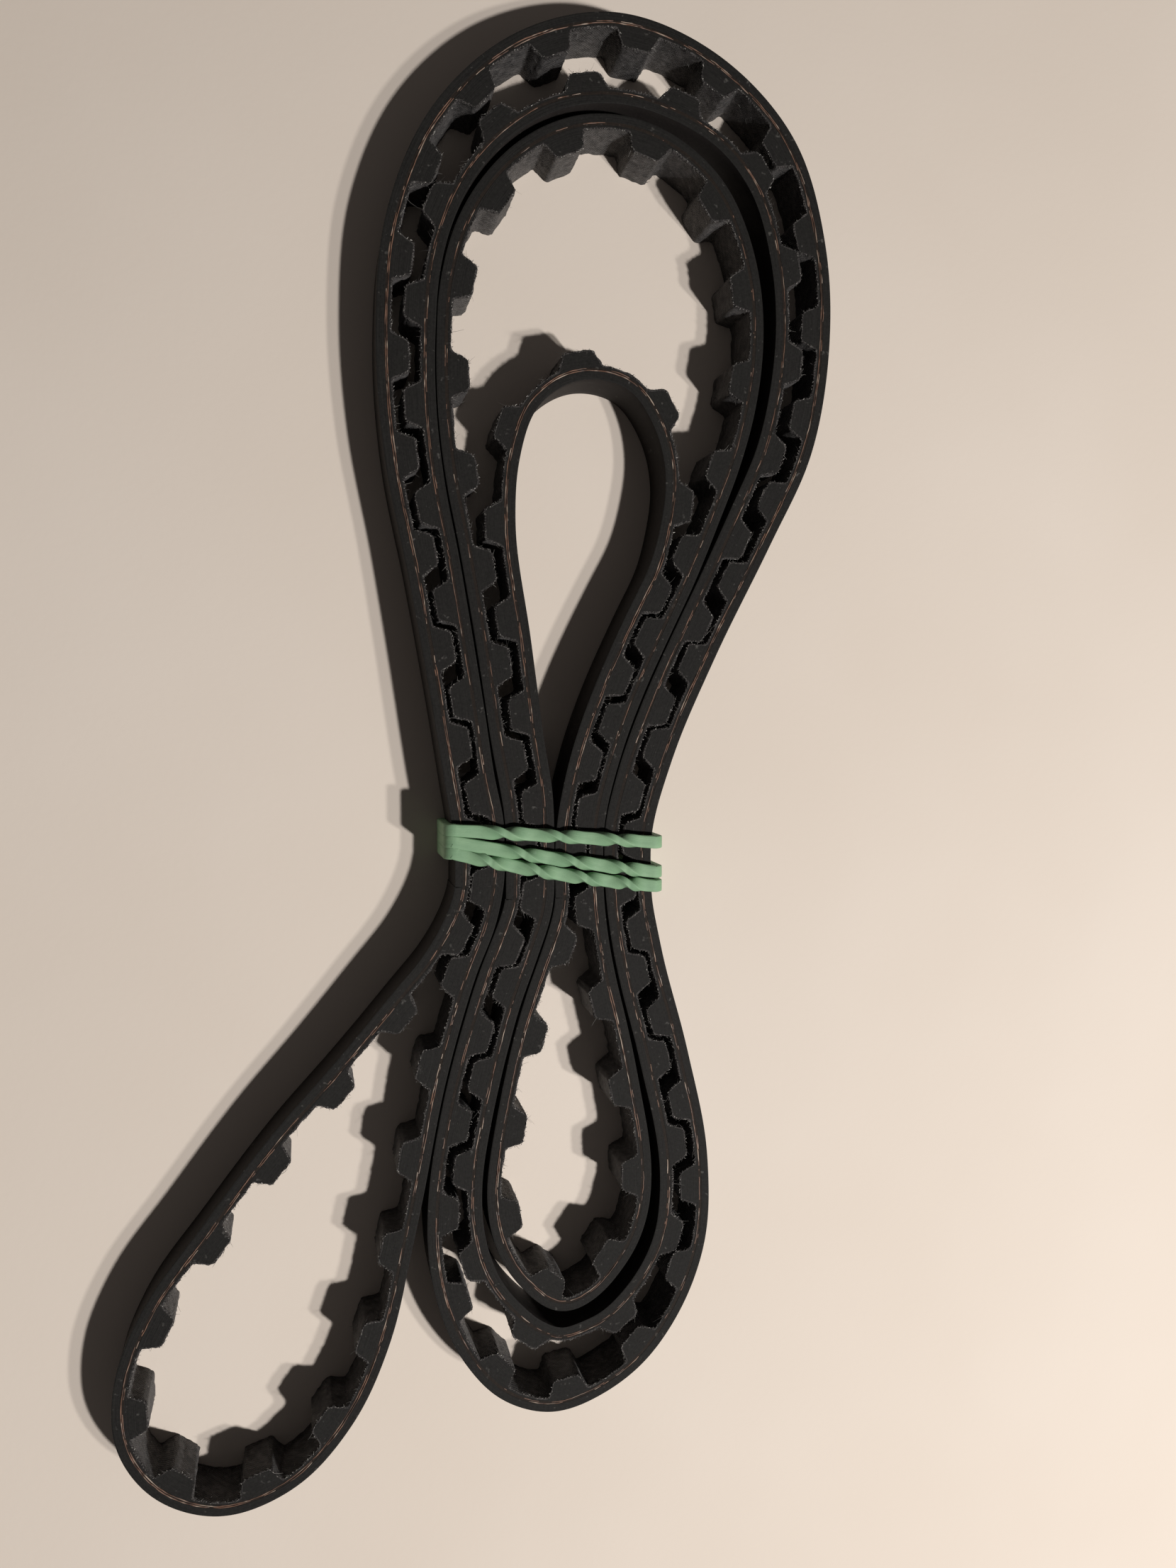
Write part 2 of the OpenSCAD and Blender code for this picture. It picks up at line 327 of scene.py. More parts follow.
class FoldedRoute:
    """The way the belt is folded: four upper turns and four lower ones."""

    def __init__(self) -> None:
        """Works out every turn, each inner one from the one outside it."""
        self.lower_outer = self._lower_outer()
        self.lower_middle = self._lower_middle()
        self.lower_inner = self._lower_inner()
        self.lower_side = self._lower_side()
        self.upper_outer = self._upper_outer()
        self.upper_second = self._upper_second()
        self.upper_third = self._upper_third()
        self.upper_inner = self._upper_inner()

    @staticmethod
    def _turn(points: list[Point | np.ndarray], up: int) -> Track:
        """A turn through its points, run on straight for a pitch at both ends.

        Args:
            points: the points from one strand to the other.
            up: 1 for a turn above the waist, -1 for one below it.

        Returns:
            The turn's cord line.
        """
        run_on = np.array([0.0, up * SECTION.pitch])
        inner = spline(points, (0, up), (0, -up))
        return Track(np.vstack([inner[0] - run_on, inner, inner[-1] - run_on]))

    @staticmethod
    def _land(i: int) -> Point:
        """Middle of the land from which a strand's teeth are counted."""
        return (STRAND[i], LAND_Y[i])

    @staticmethod
    def _above(i: int) -> Point:
        """A point just above the waist on a strand."""
        return (STRAND[i], max(LAND_Y[i], 0) + 2)

    @staticmethod
    def _below(i: int) -> Point:
        """A point just below the waist on a strand."""
        return (STRAND[i], min(LAND_Y[i], 0) - 2)

    def _lower_outer(self) -> Track:
        """The outer lower turn."""
        x, r = STRAND[2], WAIST_R
        return self._turn(
            [self._land(2), (x - 0.4, -7.5), (x - 1.5, -10.5), (x - 3.7, -16), (x - 5.9, -23),
             (x - 9.1, -36), (x - 10.6, -46), (x - 10.8, -53), (x - 9.7, -60.5), (x - 6, -69.5),
             (-6.6, -75.1), (0, -77.6), (6.9, -75.8), (r - 0.4, -72.6), (r + 4.2, -67),
             (r + 8.4, -56.8), (r + 8.8, -44.3), (r + 5.6, -28.6), (r + 1.4, -13),
             self._land(7)], -1)

    def _lower_middle(self) -> Track:
        """The lower turn whose teeth mesh with the outer one."""
        gaps = [0.15, 0.2, 0.4, 0.6, 2.1, 4.9, 5.3, 3.3, 1.3, 0.5, 0.4, 0.2, 0]
        x = STRAND[3]
        return self._turn(
            [self._land(3), (x, -2.5), (x, -5.5)]
            + beside(self.lower_outer, -SECTION.mesh, gaps, 0.045)
            + [self._below(6), self._land(6)], -1)

    def _lower_inner(self) -> Track:
        """The innermost lower turn."""
        gaps = [0, 0.1, 0.2, 0.5, 0.6, 1.4, 2, 2, 1.2, 0.8, 0.3, 0.2, 0]
        return self._turn(
            [self._land(4)] + beside(self.lower_middle, -SECTION.backs, gaps)
            + [self._below(5), self._land(5)], -1)

    def _lower_side(self) -> Track:
        """The long turn that leaves the waist to the left."""
        x = WAIST_L
        shares = [0.24 - 0.035 * i for i in range(6)]
        return self._turn(
            [self._land(0), (x - 0.8, -7), (x - 3.3, -12), (x - 9.1, -19.2), (x - 16.6, -28),
             (x - 24, -36.2), (x - 33.7, -48.6), (x - 40.8, -58.3), (x - 44.4, -67.5),
             (x - 44.3, -75.5), (x - 40, -82.3), (x - 32.6, -85.6), (-36.2, -83.3),
             (-28.9, -76), (-23.9, -65.5), (-21.1, -54)]
            + [self.lower_outer.by(f, SECTION.backs + (0.3 if i == 0 else 0.1))
               for i, f in enumerate(shares)]
            + [self.lower_outer.by(0.028, SECTION.backs + 0.05), (STRAND[1], -3),
               self._land(1)], -1)

    def _upper_outer(self) -> Track:
        """The outer upper turn."""
        x, r = WAIST_L, WAIST_R
        return self._turn(
            [self._land(0), self._above(0), (x - 0.8, 7), (x - 2.8, 20), (x - 5.7, 37),
             (x - 8.7, 53), (x - 9.6, 68), (x - 8.1, 83), (x - 2.2, 96.5), (-3, 107),
             (9, 110.5), (21.6, 107.3), (r + 20.7, 97.5), (r + 25.4, 83.8), (r + 26, 69),
             (r + 23.5, 55.5), (r + 17.8, 43.6), (r + 9.2, 27), (r + 3, 13),
             self._above(7), self._land(7)], 1)

    def _upper_second(self) -> Track:
        """The upper turn whose teeth mesh with the outer one."""
        gaps = [0, 0.1, 0.4, 0.8, 1.6, 3.5, 5, 3, 1.6, 1.3, 0.4, 0.2, 0.05]
        return self._turn(
            [self._land(1), self._above(1)] + beside(self.upper_outer, SECTION.mesh, gaps)
            + [self._land(6)], 1)

    def _upper_third(self) -> Track:
        """The upper turn that lies back to back with the second."""
        gaps = [0, 0.1, 0.1, 0.02, 0.1, 0.8, 1.3, 2.5, 1.7, 1.3, 0.2, 0.1, 0]
        return self._turn(
            [self._land(2), (STRAND[2], 4)]
            + beside(self.upper_second, SECTION.backs, gaps, 0.06)
            + [self._above(5), self._land(5)], 1)

    def _upper_inner(self) -> Track:
        """The short upper turn inside the third."""
        rise = [0.06 + 0.03 * i for i in range(4)]
        fall = [0.82 + 0.03 * i for i in range(5)]
        return self._turn(
            [self._land(3), self._above(3)]
            + [self.upper_third.by(f, SECTION.mesh + 5 * f) for f in rise]
            + [(-6.4, 45.5), (-5.8, 53), (-2.8, 61), (4, 65.1), (11, 64.1), (15.6, 58),
               (17.1, 51), (16.3, 44.5)]
            + [self.upper_third.by(f, SECTION.mesh + 0.1) for f in fall]
            + [self._above(4), self._land(4)], 1)

    def turns(self) -> list[Turn]:
        """The eight turns, each with the side of its teeth and its body."""
        return [
            Turn("upper_outer", self.upper_outer, 1, Body.UPPER, 0.85),
            Turn("upper_second", self.upper_second, -1, Body.UPPER, 0.3),
            Turn("upper_third", self.upper_third, 1, Body.UPPER, 0.1),
            Turn("upper_inner", self.upper_inner, -1, Body.UPPER, 0.85),
            Turn("lower_outer", self.lower_outer, -1, Body.LOWER, 0.45),
            Turn("lower_middle", self.lower_middle, 1, Body.LOWER, 0.5),
            Turn("lower_inner", self.lower_inner, -1, Body.LOWER, 0.9),
            Turn("lower_side", self.lower_side, -1, Body.SIDE, 0.75),
        ]


@dataclass
class Profile:
    """The toothed line of a turn on close stations, seen in the plan.

    Attributes:
        s: distance along the turn at each station.
        inner: line under the facing.
        outer: outside of the facing.
        rise: height of the outer line above the land, 0 to 1.
    """

    s: np.ndarray
    inner: np.ndarray
    outer: np.ndarray
    rise: np.ndarray


class ToothedLine:
    """Draws the toothed side of a turn from tooth outlines and lands."""

    LAND_STATIONS = 6

    def __init__(self, turn: Turn) -> None:
        """Takes the turn.

        Args:
            turn: the turn to draw.
        """
        self.turn = turn

    @staticmethod
    def outline(c: float) -> np.ndarray:
        """Outline of one tooth as distance along and height above the land.

        Args:
            c: thickness of what covers the outline.

        Returns:
            The points, from one root to the other.
        """
        sec = SECTION
        w = sec.tooth_root / 2 - 0.7 * c
        lean = (sec.tooth_root - sec.tooth_tip) / 2 / sec.tooth_h
        r, top = sec.tip_r - c, sec.tooth_h - c
        edge = w - (top + c) * lean - 0.8 * r
        foot = [(-w - 0.45, -c), (-w - 0.28, 0.03 - c), (-w - 0.12, 0.13 - c),
                (-w - 0.01, 0.27 - c), (-w + 0.08, 0.45 - c)]
        tip = [(-edge + r * math.cos(math.radians(a)), top - r + r * math.sin(math.radians(a)))
               for a in range(165, 85, -15)]
        flank = [tuple(np.array(foot[-1]) + t * (np.array(tip[0]) - np.array(foot[-1])))
                 for t in (0.33, 0.67)]
        half = foot + flank + tip
        crown = [(t * tip[-1][0], top) for t in (0.6, 0.2, -0.2, -0.6)]
        return np.array(half + crown + [(-x, y) for x, y in reversed(half)])

    def _cell(self, k: int, c: float) -> tuple[np.ndarray, np.ndarray, np.ndarray]:
        """One tooth with half a land on each side.

        Args:
            k: number of the tooth along the turn.
            c: thickness of what covers it.

        Returns:
            Distance along, point in the plan and share of the tooth's height at each station.
        """
        turn, sec = self.turn, SECTION
        tooth = self.outline(c)
        w = -tooth[0, 0]
        mid = (k + 0.5) * turn.step
        d = sec.land - c
        a, b = turn.off(np.array([mid - w, mid + w]), d)
        x = (b - a) / (2 * w)
        y = turn.side * np.array([x[1], -x[0]])
        body = (a + b) / 2 + tooth[:, :1] * x + (tooth[:, 1:] + c) * y
        before = np.linspace(k * turn.step, mid - w, self.LAND_STATIONS)[:-1]
        after = np.linspace(mid + w, (k + 1) * turn.step, self.LAND_STATIONS)[1:-1]
        s = np.concatenate([before, mid + tooth[:, 0], after])
        points = np.vstack([turn.off(before, d), body, turn.off(after, d)])
        rise = np.concatenate([before * 0, (tooth[:, 1] + c) / sec.tooth_h, after * 0])
        return s, points, rise

    def profile(self) -> Profile:
        """The whole toothed line of the turn."""
        cells = [(self._cell(k, SECTION.facing), self._cell(k, 0.0))
                 for k in range(self.turn.teeth)]
        end = np.array([self.turn.teeth * self.turn.step])
        s = np.concatenate([inner[0] for inner, _ in cells] + [end])
        inner_end = self.turn.off(end, SECTION.land - SECTION.facing)
        inner = np.vstack([i[1] for i, _ in cells] + [inner_end])
        outer = np.vstack([o[1] for _, o in cells] + [self.turn.off(end, SECTION.land)])
        rise = np.concatenate([o[2] for _, o in cells] + [[0.0]])
        return Profile(s, inner, outer, rise)


def drift(s: np.ndarray, rng: np.random.Generator, span: float) -> np.ndarray:
    """Smooth random values along s, about -1 to 1.

    Args:
        s: distances.
        rng: the random source.
        span: distance over which the value changes.

    Returns:
        One value for each distance.
    """
    knots = np.arange(s.min() - 2 * span, s.max() + 3 * span, span)
    values = rng.uniform(-1, 1, len(knots))
    x = (s - knots[0]) / span
    i = np.clip(x.astype(int), 0, len(knots) - 2)
    t = x - i
    t = t * t * (3 - 2 * t)
    return values[i] * (1 - t) + values[i + 1] * t


class MeshWork:
    """Turns grids of points into finished mesh objects."""

    @staticmethod
    def sweep(rings: np.ndarray, caps: bool = True) -> tuple[np.ndarray, Faces]:
        """Skins rings of points into a tube.

        Args:
            rings: points, as rings by points by three.
            caps: whether both ends are closed.

        Returns:
            Vertices and faces.
        """
        n, m = rings.shape[:2]
        verts = rings.reshape(-1, 3)
        i = np.arange(n - 1)[:, None] * m
        j = np.arange(m)[None, :]
        k = (j + 1) % m
        quads = np.stack([i + j, i + k, i + m + k, i + m + j], -1).reshape(-1, 4)
        faces = quads.tolist()
        if caps:
            faces.append(list(range(m - 1, -1, -1)))
            faces.append(list(range((n - 1) * m, n * m)))
        return verts, faces

    @staticmethod
    def build(name: str, verts: np.ndarray, faces: Faces, materials: list[bpy.types.Material],
              picks: np.ndarray | None = None, facts: Facts | None = None,
              sharp: float = 40.0) -> bpy.types.Object:
        """Makes a mesh object from vertices in millimetres.

        Args:
            name: the piece's name.
            verts: vertices in millimetres.
            faces: faces as lists of vertex numbers.
            materials: the materials it wears.
            picks: which material each face wears.
            facts: named values kept at each vertex for the materials.
            sharp: angle above which edges stay crisp, in degrees.

        Returns:
            The new object.
        """
        mesh = bpy.data.meshes.new(name)
        mesh.from_pydata((np.asarray(verts) * MM).tolist(), [], faces)
        for material in materials:
            mesh.materials.append(material)
        if picks is not None:
            mesh.polygons.foreach_set("material_index", np.asarray(picks, np.int32))
        for key, values in (facts or {}).items():
            layer = mesh.attributes.new(key, "FLOAT", "POINT")
            layer.data.foreach_set("value", np.asarray(values, np.float32))
        mesh.polygons.foreach_set("use_smooth", np.ones(len(mesh.polygons), bool))
        mesh.update()
        mesh.set_sharp_from_angle(angle=math.radians(sharp))
        obj = bpy.data.objects.new(name, mesh)
        bpy.context.scene.collection.objects.link(obj)
        return obj

    @staticmethod
    def face_out(verts: np.ndarray, faces: Faces) -> Faces:
        """Faces turned over if the closed mesh they form is inside out.

        Args:
            verts: vertices.
            faces: faces of a closed mesh.

        Returns:
            The faces, all looking outwards.
        """
        total = 0.0
        v = np.asarray(verts)
        quads = np.array([f for f in faces if len(f) == 4])
        if len(quads):
            a, b, c, d = (v[quads[:, i]] for i in range(4))
            total += float(np.einsum("ij,ij->i", a, np.cross(b, c)).sum())
            total += float(np.einsum("ij,ij->i", a, np.cross(c, d)).sum())
        for f in faces:
            if len(f) == 4:
                continue
            for i in range(1, len(f) - 1):
                total += float(np.dot(v[f[0]], np.cross(v[f[i]], v[f[i + 1]])))
        return faces if total > 0 else [f[::-1] for f in faces]


class Nodes:
    """A short way to write shader nodes."""

    def __init__(self, tree: bpy.types.NodeTree) -> None:
        """Takes the tree.

        Args:
            tree: the node tree to add to.
        """
        self.tree = tree

    def add(self, kind: str, **values: object) -> bpy.types.Node:
        """Adds a node; a value that is a socket is linked, others are set.

        Args:
            kind: the node's type without its prefix.
            values: inputs by name with spaces as underscores, or by number as i0, or attributes.

        Returns:
            The node.
        """
        node = self.tree.nodes.new(kind)
        for key, value in values.items():
            if hasattr(node, key) and not isinstance(value, bpy.types.NodeSocket):
                setattr(node, key, value)
                continue
            numbered = key[0] == "i" and key[1:].isdigit()
            socket = node.inputs[int(key[1:]) if numbered else key.replace("_", " ")]
            if isinstance(value, bpy.types.NodeSocket):
                self.tree.links.new(value, socket)
            else:
                socket.default_value = value
        return node

    def math(self, operation: str, a: object, b: object = 0.0,
             clamp: bool = False) -> bpy.types.NodeSocket:
        """A math node's result.

        Args:
            operation: the node's operation.
            a: first value or socket.
            b: second value or socket.
            clamp: whether the result is held between 0 and 1.

        Returns:
            The result's socket.
        """
        node = self.add("ShaderNodeMath", operation=operation, use_clamp=clamp, i0=a, i1=b)
        return node.outputs[0]

    def fact(self, name: str) -> bpy.types.NodeSocket:
        """A value kept at the vertices."""
        return self.add("ShaderNodeAttribute", attribute_name=name).outputs["Fac"]

    def mix(self, share: object, a: object, b: object) -> bpy.types.NodeSocket:
        """A blend of two colours.

        Args:
            share: share of the second colour.
            a: the first colour.
            b: the second colour.

        Returns:
            The blend's socket.
        """
        node = self.tree.nodes.new("ShaderNodeMix")
        node.data_type = "RGBA"
        for socket, value in ((node.inputs[0], share), (node.inputs[6], a), (node.inputs[7], b)):
            if isinstance(value, bpy.types.NodeSocket):
                self.tree.links.new(value, socket)
            else:
                socket.default_value = value
        return node.outputs[2]

    def ramp(self, value: object, low: float, high: float) -> bpy.types.NodeSocket:
        """Stretches a value so that low becomes 0 and high becomes 1.

        Args:
            value: the value or socket.
            low: value that becomes 0.
            high: value that becomes 1.

        Returns:
            The result's socket.
        """
        return self.add("ShaderNodeMapRange", Value=value, From_Min=low, From_Max=high).outputs[0]

    def noise(self, place: bpy.types.NodeSocket, scale: object, detail: float,
              **more: float) -> bpy.types.NodeSocket:
        """A noise texture's value.

        Args:
            place: where the noise is read.
            scale: its scale, a number or a socket.
            detail: its detail.
            more: other inputs by name.

        Returns:
            The value's socket.
        """
        node = self.add("ShaderNodeTexNoise", Vector=place, Scale=scale, Detail=detail, **more)
        return node.outputs[0]


def group(name: str, inputs: dict[str, tuple[str, float]], outputs: dict[str, str]
          ) -> tuple[bpy.types.NodeTree, Nodes, bpy.types.Node, bpy.types.Node]:
    """Starts a shader node group.

    Args:
        name: the group's name.
        inputs: socket types and starting values by name.
        outputs: socket types by name.

    Returns:
        The group, its node writer, its input node and its output node.
    """
    tree = bpy.data.node_groups.new(name, "ShaderNodeTree")
    for key, (kind, value) in inputs.items():
        socket = tree.interface.new_socket(key, in_out="INPUT", socket_type=kind)
        socket.default_value = value
    for key, kind in outputs.items():
        tree.interface.new_socket(key, in_out="OUTPUT", socket_type=kind)
    nodes = Nodes(tree)
    return tree, nodes, nodes.add("NodeGroupInput"), nodes.add("NodeGroupOutput")


class Effects:
    """Shader node groups that several finishes share."""

    def __init__(self) -> None:
        """Builds each group once."""
        self.streaks = self._streaks()
        self.grain = self._grain()

    @staticmethod
    def _streaks() -> bpy.types.NodeTree:
        """Fine marks that run lengthwise, from the saw that cut the belt."""
        tree, n, start, end = group(
            "LengthwiseStreaks",
            {"Fineness": ("NodeSocketFloat", 9.0), "Stretch": ("NodeSocketFloat", 0.16)},
            {"Streaks": "NodeSocketFloat", "Mottle": "NodeSocketFloat"})
        along = n.math("MULTIPLY", n.fact("along"), start.outputs["Stretch"])
        across = n.math("MULTIPLY", n.fact("across"), start.outputs["Fineness"])
        place = n.add("ShaderNodeCombineXYZ", X=along, Y=across, Z=n.fact("seed"))
        fine = n.noise(place.outputs[0], 1.0, 4.0, Roughness=0.65)
        slow = n.add("ShaderNodeCombineXYZ", X=n.math("MULTIPLY", n.fact("along"), 0.35),
                     Y=n.math("MULTIPLY", n.fact("across"), 0.8), Z=n.fact("seed"))
        mottle = n.noise(slow.outputs[0], 1.0, 3.0, Roughness=0.6)
        n.tree.links.new(fine, end.inputs["Streaks"])
        n.tree.links.new(mottle, end.inputs["Mottle"])
        return tree

    @staticmethod
    def _grain() -> bpy.types.NodeTree:
        """Fine grain and scattered pale dust over a surface."""
        tree, n, start, end = group(
            "GrainAndDust",
            {"Grain Scale": ("NodeSocketFloat", 2600.0), "Dust Scale": ("NodeSocketFloat", 900.0),
             "Dust Amount": ("NodeSocketFloat", 0.3)},
            {"Grain": "NodeSocketFloat", "Dust": "NodeSocketFloat"})
        place = n.add("ShaderNodeTexCoord").outputs["Object"]
        grain = n.noise(place, start.outputs["Grain Scale"], 3.0, Roughness=0.7)
        specks = n.noise(place, start.outputs["Dust Scale"], 2.0, Roughness=0.7)
        dust = n.math("MULTIPLY", n.ramp(specks, 0.66, 0.78), start.outputs["Dust Amount"], clamp=True)
        n.tree.links.new(grain, end.inputs["Grain"])
        n.tree.links.new(dust, end.inputs["Dust"])
        return tree


def rgb(r: float, g: float, b: float) -> Colour:
    """A colour with full alpha."""
    return (r, g, b, 1.0)


class Surface:
    """A new material and its shader, ready to be dressed."""

    def __init__(self, name: str) -> None:
        """Starts the material.

        Args:
            name: the material's name.
        """
        self.material = bpy.data.materials.new(name)
        self.material.use_nodes = True
        self.nodes = Nodes(self.material.node_tree)
        self.shader = self.material.node_tree.nodes["Principled BSDF"]

    def shared(self, effect: bpy.types.NodeTree, **values: float) -> bpy.types.Node:
        """Places a shared effect with its own values.

        Args:
            effect: the effect's node group.
            values: its inputs by name, with spaces as underscores.

        Returns:
            The group's node.
        """
        return self.nodes.add("ShaderNodeGroup", node_tree=effect, **values)

    def link(self, value: bpy.types.NodeSocket, name: str) -> None:
        """Feeds a value that changes over the surface to one of the shader's inputs."""
        self.nodes.tree.links.new(value, self.shader.inputs[name])

    def relief(self, height: bpy.types.NodeSocket, strength: float, depth: float) -> None:
        """Gives the surface a fine relief.

        Args:
            height: the changing height.
            strength: how strongly it shows.
            depth: depth of the relief, in metres.
        """
        bump = self.nodes.add("ShaderNodeBump", Strength=strength, Distance=depth, Height=height)
        self.link(bump.outputs[0], "Normal")

    def fix(self, **values: float) -> None:
        """Sets shader inputs that are the same all over the surface."""
        for key, value in values.items():
            self.shader.inputs[key.replace("_", " ")].default_value = value


@dataclass(frozen=True)
class RubberFinish:
    """Black belt rubber.

    Attributes:
        name: the material's name.
        dark: colour of the deeper marks.
        light: colour of the raised, scuffed marks.
        fineness: how fine the lengthwise marks are.
        dust: how much pale dust lies on it.
    """

    name: str
    dark: Colour
    light: Colour
    fineness: float = 9.0
    dust: float = 0.35

    def material(self, effects: Effects) -> bpy.types.Material:
        """The material with its streaks, mottle, dust and relief.

        Args:
            effects: the shared effects.

        Returns:
            The material.
        """
        surface = Surface(self.name)
        n = surface.nodes
        streaks = surface.shared(effects.streaks, Fineness=self.fineness)
        grain = surface.shared(effects.grain, Dust_Amount=self.dust)
        marks = n.math("ADD", streaks.outputs["Streaks"], n.math("MULTIPLY", grain.outputs["Grain"], 0.9))
        tone = n.mix(n.ramp(marks, 0.62, 1.25), self.dark, self.light)
        worn = n.mix(n.math("MULTIPLY", streaks.outputs["Mottle"], 0.35), tone, self.light)
        surface.link(n.mix(grain.outputs["Dust"], worn, rgb(0.22, 0.215, 0.2)), "Base Color")
        rough = n.math("MULTIPLY_ADD", streaks.outputs["Streaks"], 0.25)
        rough.node.inputs[2].default_value = 0.62
        surface.link(rough, "Roughness")
        height = n.math("ADD", streaks.outputs["Streaks"], n.math("MULTIPLY", grain.outputs["Grain"], 0.5))
        surface.relief(height, 0.6, 0.00008)
        surface.fix(Specular_IOR_Level=0.21)
        return surface.material


@dataclass(frozen=True)
class FabricFinish:
    """Woven facing over the teeth, worn fuzzy.

    Attributes:
        name: the material's name.
        dark: colour between the threads.
        light: colour of the threads.
        warp: how closely the threads along the belt lie, in radians to a millimetre.
        weft: how closely the threads across the belt lie.
    """

    name: str
    dark: Colour
    light: Colour
    warp: float = 17.0
    weft: float = 15.0

    def material(self, effects: Effects) -> bpy.types.Material:
        """The material with its weave, fuzz and dust.

        Args:
            effects: the shared effects.

        Returns:
            The material.
        """
        surface = Surface(self.name)
        n = surface.nodes
        warp = n.math("SINE", n.math("MULTIPLY", n.fact("around"), self.warp))
        weft = n.math("SINE", n.math("MULTIPLY", n.fact("height"), self.weft))
        place = n.add("ShaderNodeTexCoord").outputs["Object"]
        fuzz = n.noise(place, 1300.0, 5.0, Roughness=0.8, Distortion=0.6)
        patch = n.noise(place, 320.0, 3.0, Roughness=0.6)
        grain = surface.shared(effects.grain, Dust_Scale=2100.0, Dust_Amount=0.55)
        relief = n.math("ADD", n.math("MULTIPLY", n.math("MULTIPLY", warp, weft), 0.16), fuzz)
        share = n.ramp(n.math("ADD", relief, n.math("MULTIPLY", patch, 0.5)), 0.66, 0.9)
        tufts = n.math("ADD", n.math("MULTIPLY", share, 0.5), n.math("MULTIPLY", n.fact("tuft"), 0.75))
        tone = n.mix(tufts, self.dark, self.light)
        surface.link(n.mix(grain.outputs["Dust"], tone, rgb(0.32, 0.32, 0.31)), "Base Color")
        surface.relief(relief, 0.9, 0.00016)
        surface.link(n.ramp(fuzz, -0.2, 1.1), "Roughness")
        surface.fix(Sheen_Weight=0.12, Sheen_Roughness=0.45, Specular_IOR_Level=0.15)
        return surface.material


@dataclass(frozen=True)
class CordFinish:
    """Copper brown cord filaments with painted glints: pale colour standing in for light that catches
    them.
    """

    name: str = "CordFilament"

    def material(self) -> bpy.types.Material:
        """The material with its changing brown and pale painted glints."""
        surface = Surface(self.name)
        n = surface.nodes
        place = n.add("ShaderNodeTexCoord").outputs["Object"]
        tone = n.noise(place, 700.0, 3.0)
        base = n.mix(n.ramp(tone, 0.35, 0.7), rgb(0.072, 0.041, 0.03), rgb(0.24, 0.132, 0.088))
        # Painted highlight: the glint mask mixes pale colour into the brown where light would catch the
        # filament.
        surface.link(n.mix(n.fact("paleness_and_painted_glint"), base, rgb(0.5, 0.41, 0.33)), "Base Color")
        surface.link(n.ramp(tone, -0.6, 1.4), "Roughness")
        surface.relief(tone, 0.5, 0.00004)
        return surface.material


@dataclass(frozen=True)
class FibreFinish:
    """Loose fibres and pale specks of worn facing, their paleness partly the fibres' own tone and partly
    painted glint.

    Attributes:
        name: the material's name.
        dark: colour of the dullest fibres.
        light: colour of the palest ones, partly painted glint.
    """

    name: str
    dark: Colour
    light: Colour

    def material(self) -> bpy.types.Material:
        """The material, its tone changing from fibre to fibre, the pale end partly painted glint."""
        surface = Surface(self.name)
        n = surface.nodes
        surface.link(n.mix(n.fact("paleness_and_painted_glint"), self.dark, self.light), "Base Color")
        surface.link(n.ramp(n.fact("paleness_and_painted_glint"), -2.0, 1.2), "Roughness")
        surface.fix(Specular_IOR_Level=0.2)
        return surface.material


@dataclass(frozen=True)
class BandFinish:
    """Pale green stretched rubber with a powdery face."""

    name: str = "GreenBandRubber"

    def material(self, effects: Effects) -> bpy.types.Material:
        """The material with its bloom, stretch marks and pores.

        Args:
            effects: the shared effects.

        Returns:
            The material.
        """
        surface = Surface(self.name)
        n = surface.nodes
        streaks = surface.shared(effects.streaks, Fineness=5.0, Stretch=0.5)
        grain = surface.shared(effects.grain, Grain_Scale=5200.0, Dust_Amount=0.25)
        mottle = n.ramp(streaks.outputs["Mottle"], 0.3, 0.7)
        tone = n.mix(mottle, rgb(0.175, 0.335, 0.19), rgb(0.25, 0.43, 0.25))
        worn = n.mix(n.math("MULTIPLY", streaks.outputs["Streaks"], 0.5), tone, rgb(0.3, 0.48, 0.3))
        surface.link(n.mix(grain.outputs["Dust"], worn, rgb(0.36, 0.52, 0.38)), "Base Color")
        surface.link(n.ramp(streaks.outputs["Streaks"], -1.4, 1.6), "Roughness")
        height = n.math("ADD", streaks.outputs["Streaks"], n.math("MULTIPLY", grain.outputs["Grain"], 0.6))
        surface.relief(height, 0.5, 0.00006)
        surface.fix(Specular_IOR_Level=0.4)
        return surface.material


@dataclass(frozen=True)
class PaperFinish:
    """Plain pale paper under the belt."""

    name: str = "PalePaper"

    def material(self) -> bpy.types.Material:
        """The material with a faint tooth and slow waves."""
        surface = Surface(self.name)
        n = surface.nodes
        place = n.add("ShaderNodeTexCoord").outputs["Object"]
        tooth = n.noise(place, 900.0, 4.0)
        waves = n.noise(place, 14.0, 3.0)
        colour = n.mix(n.ramp(waves, 0.3, 0.7), rgb(0.80, 0.72, 0.63), rgb(0.84, 0.765, 0.68))
        surface.link(colour, "Base Color")
        surface.relief(n.math("ADD", n.math("MULTIPLY", tooth, 0.04), waves), 0.25, 0.0012)
        surface.fix(Roughness=0.85, Specular_IOR_Level=0.2)
        return surface.material


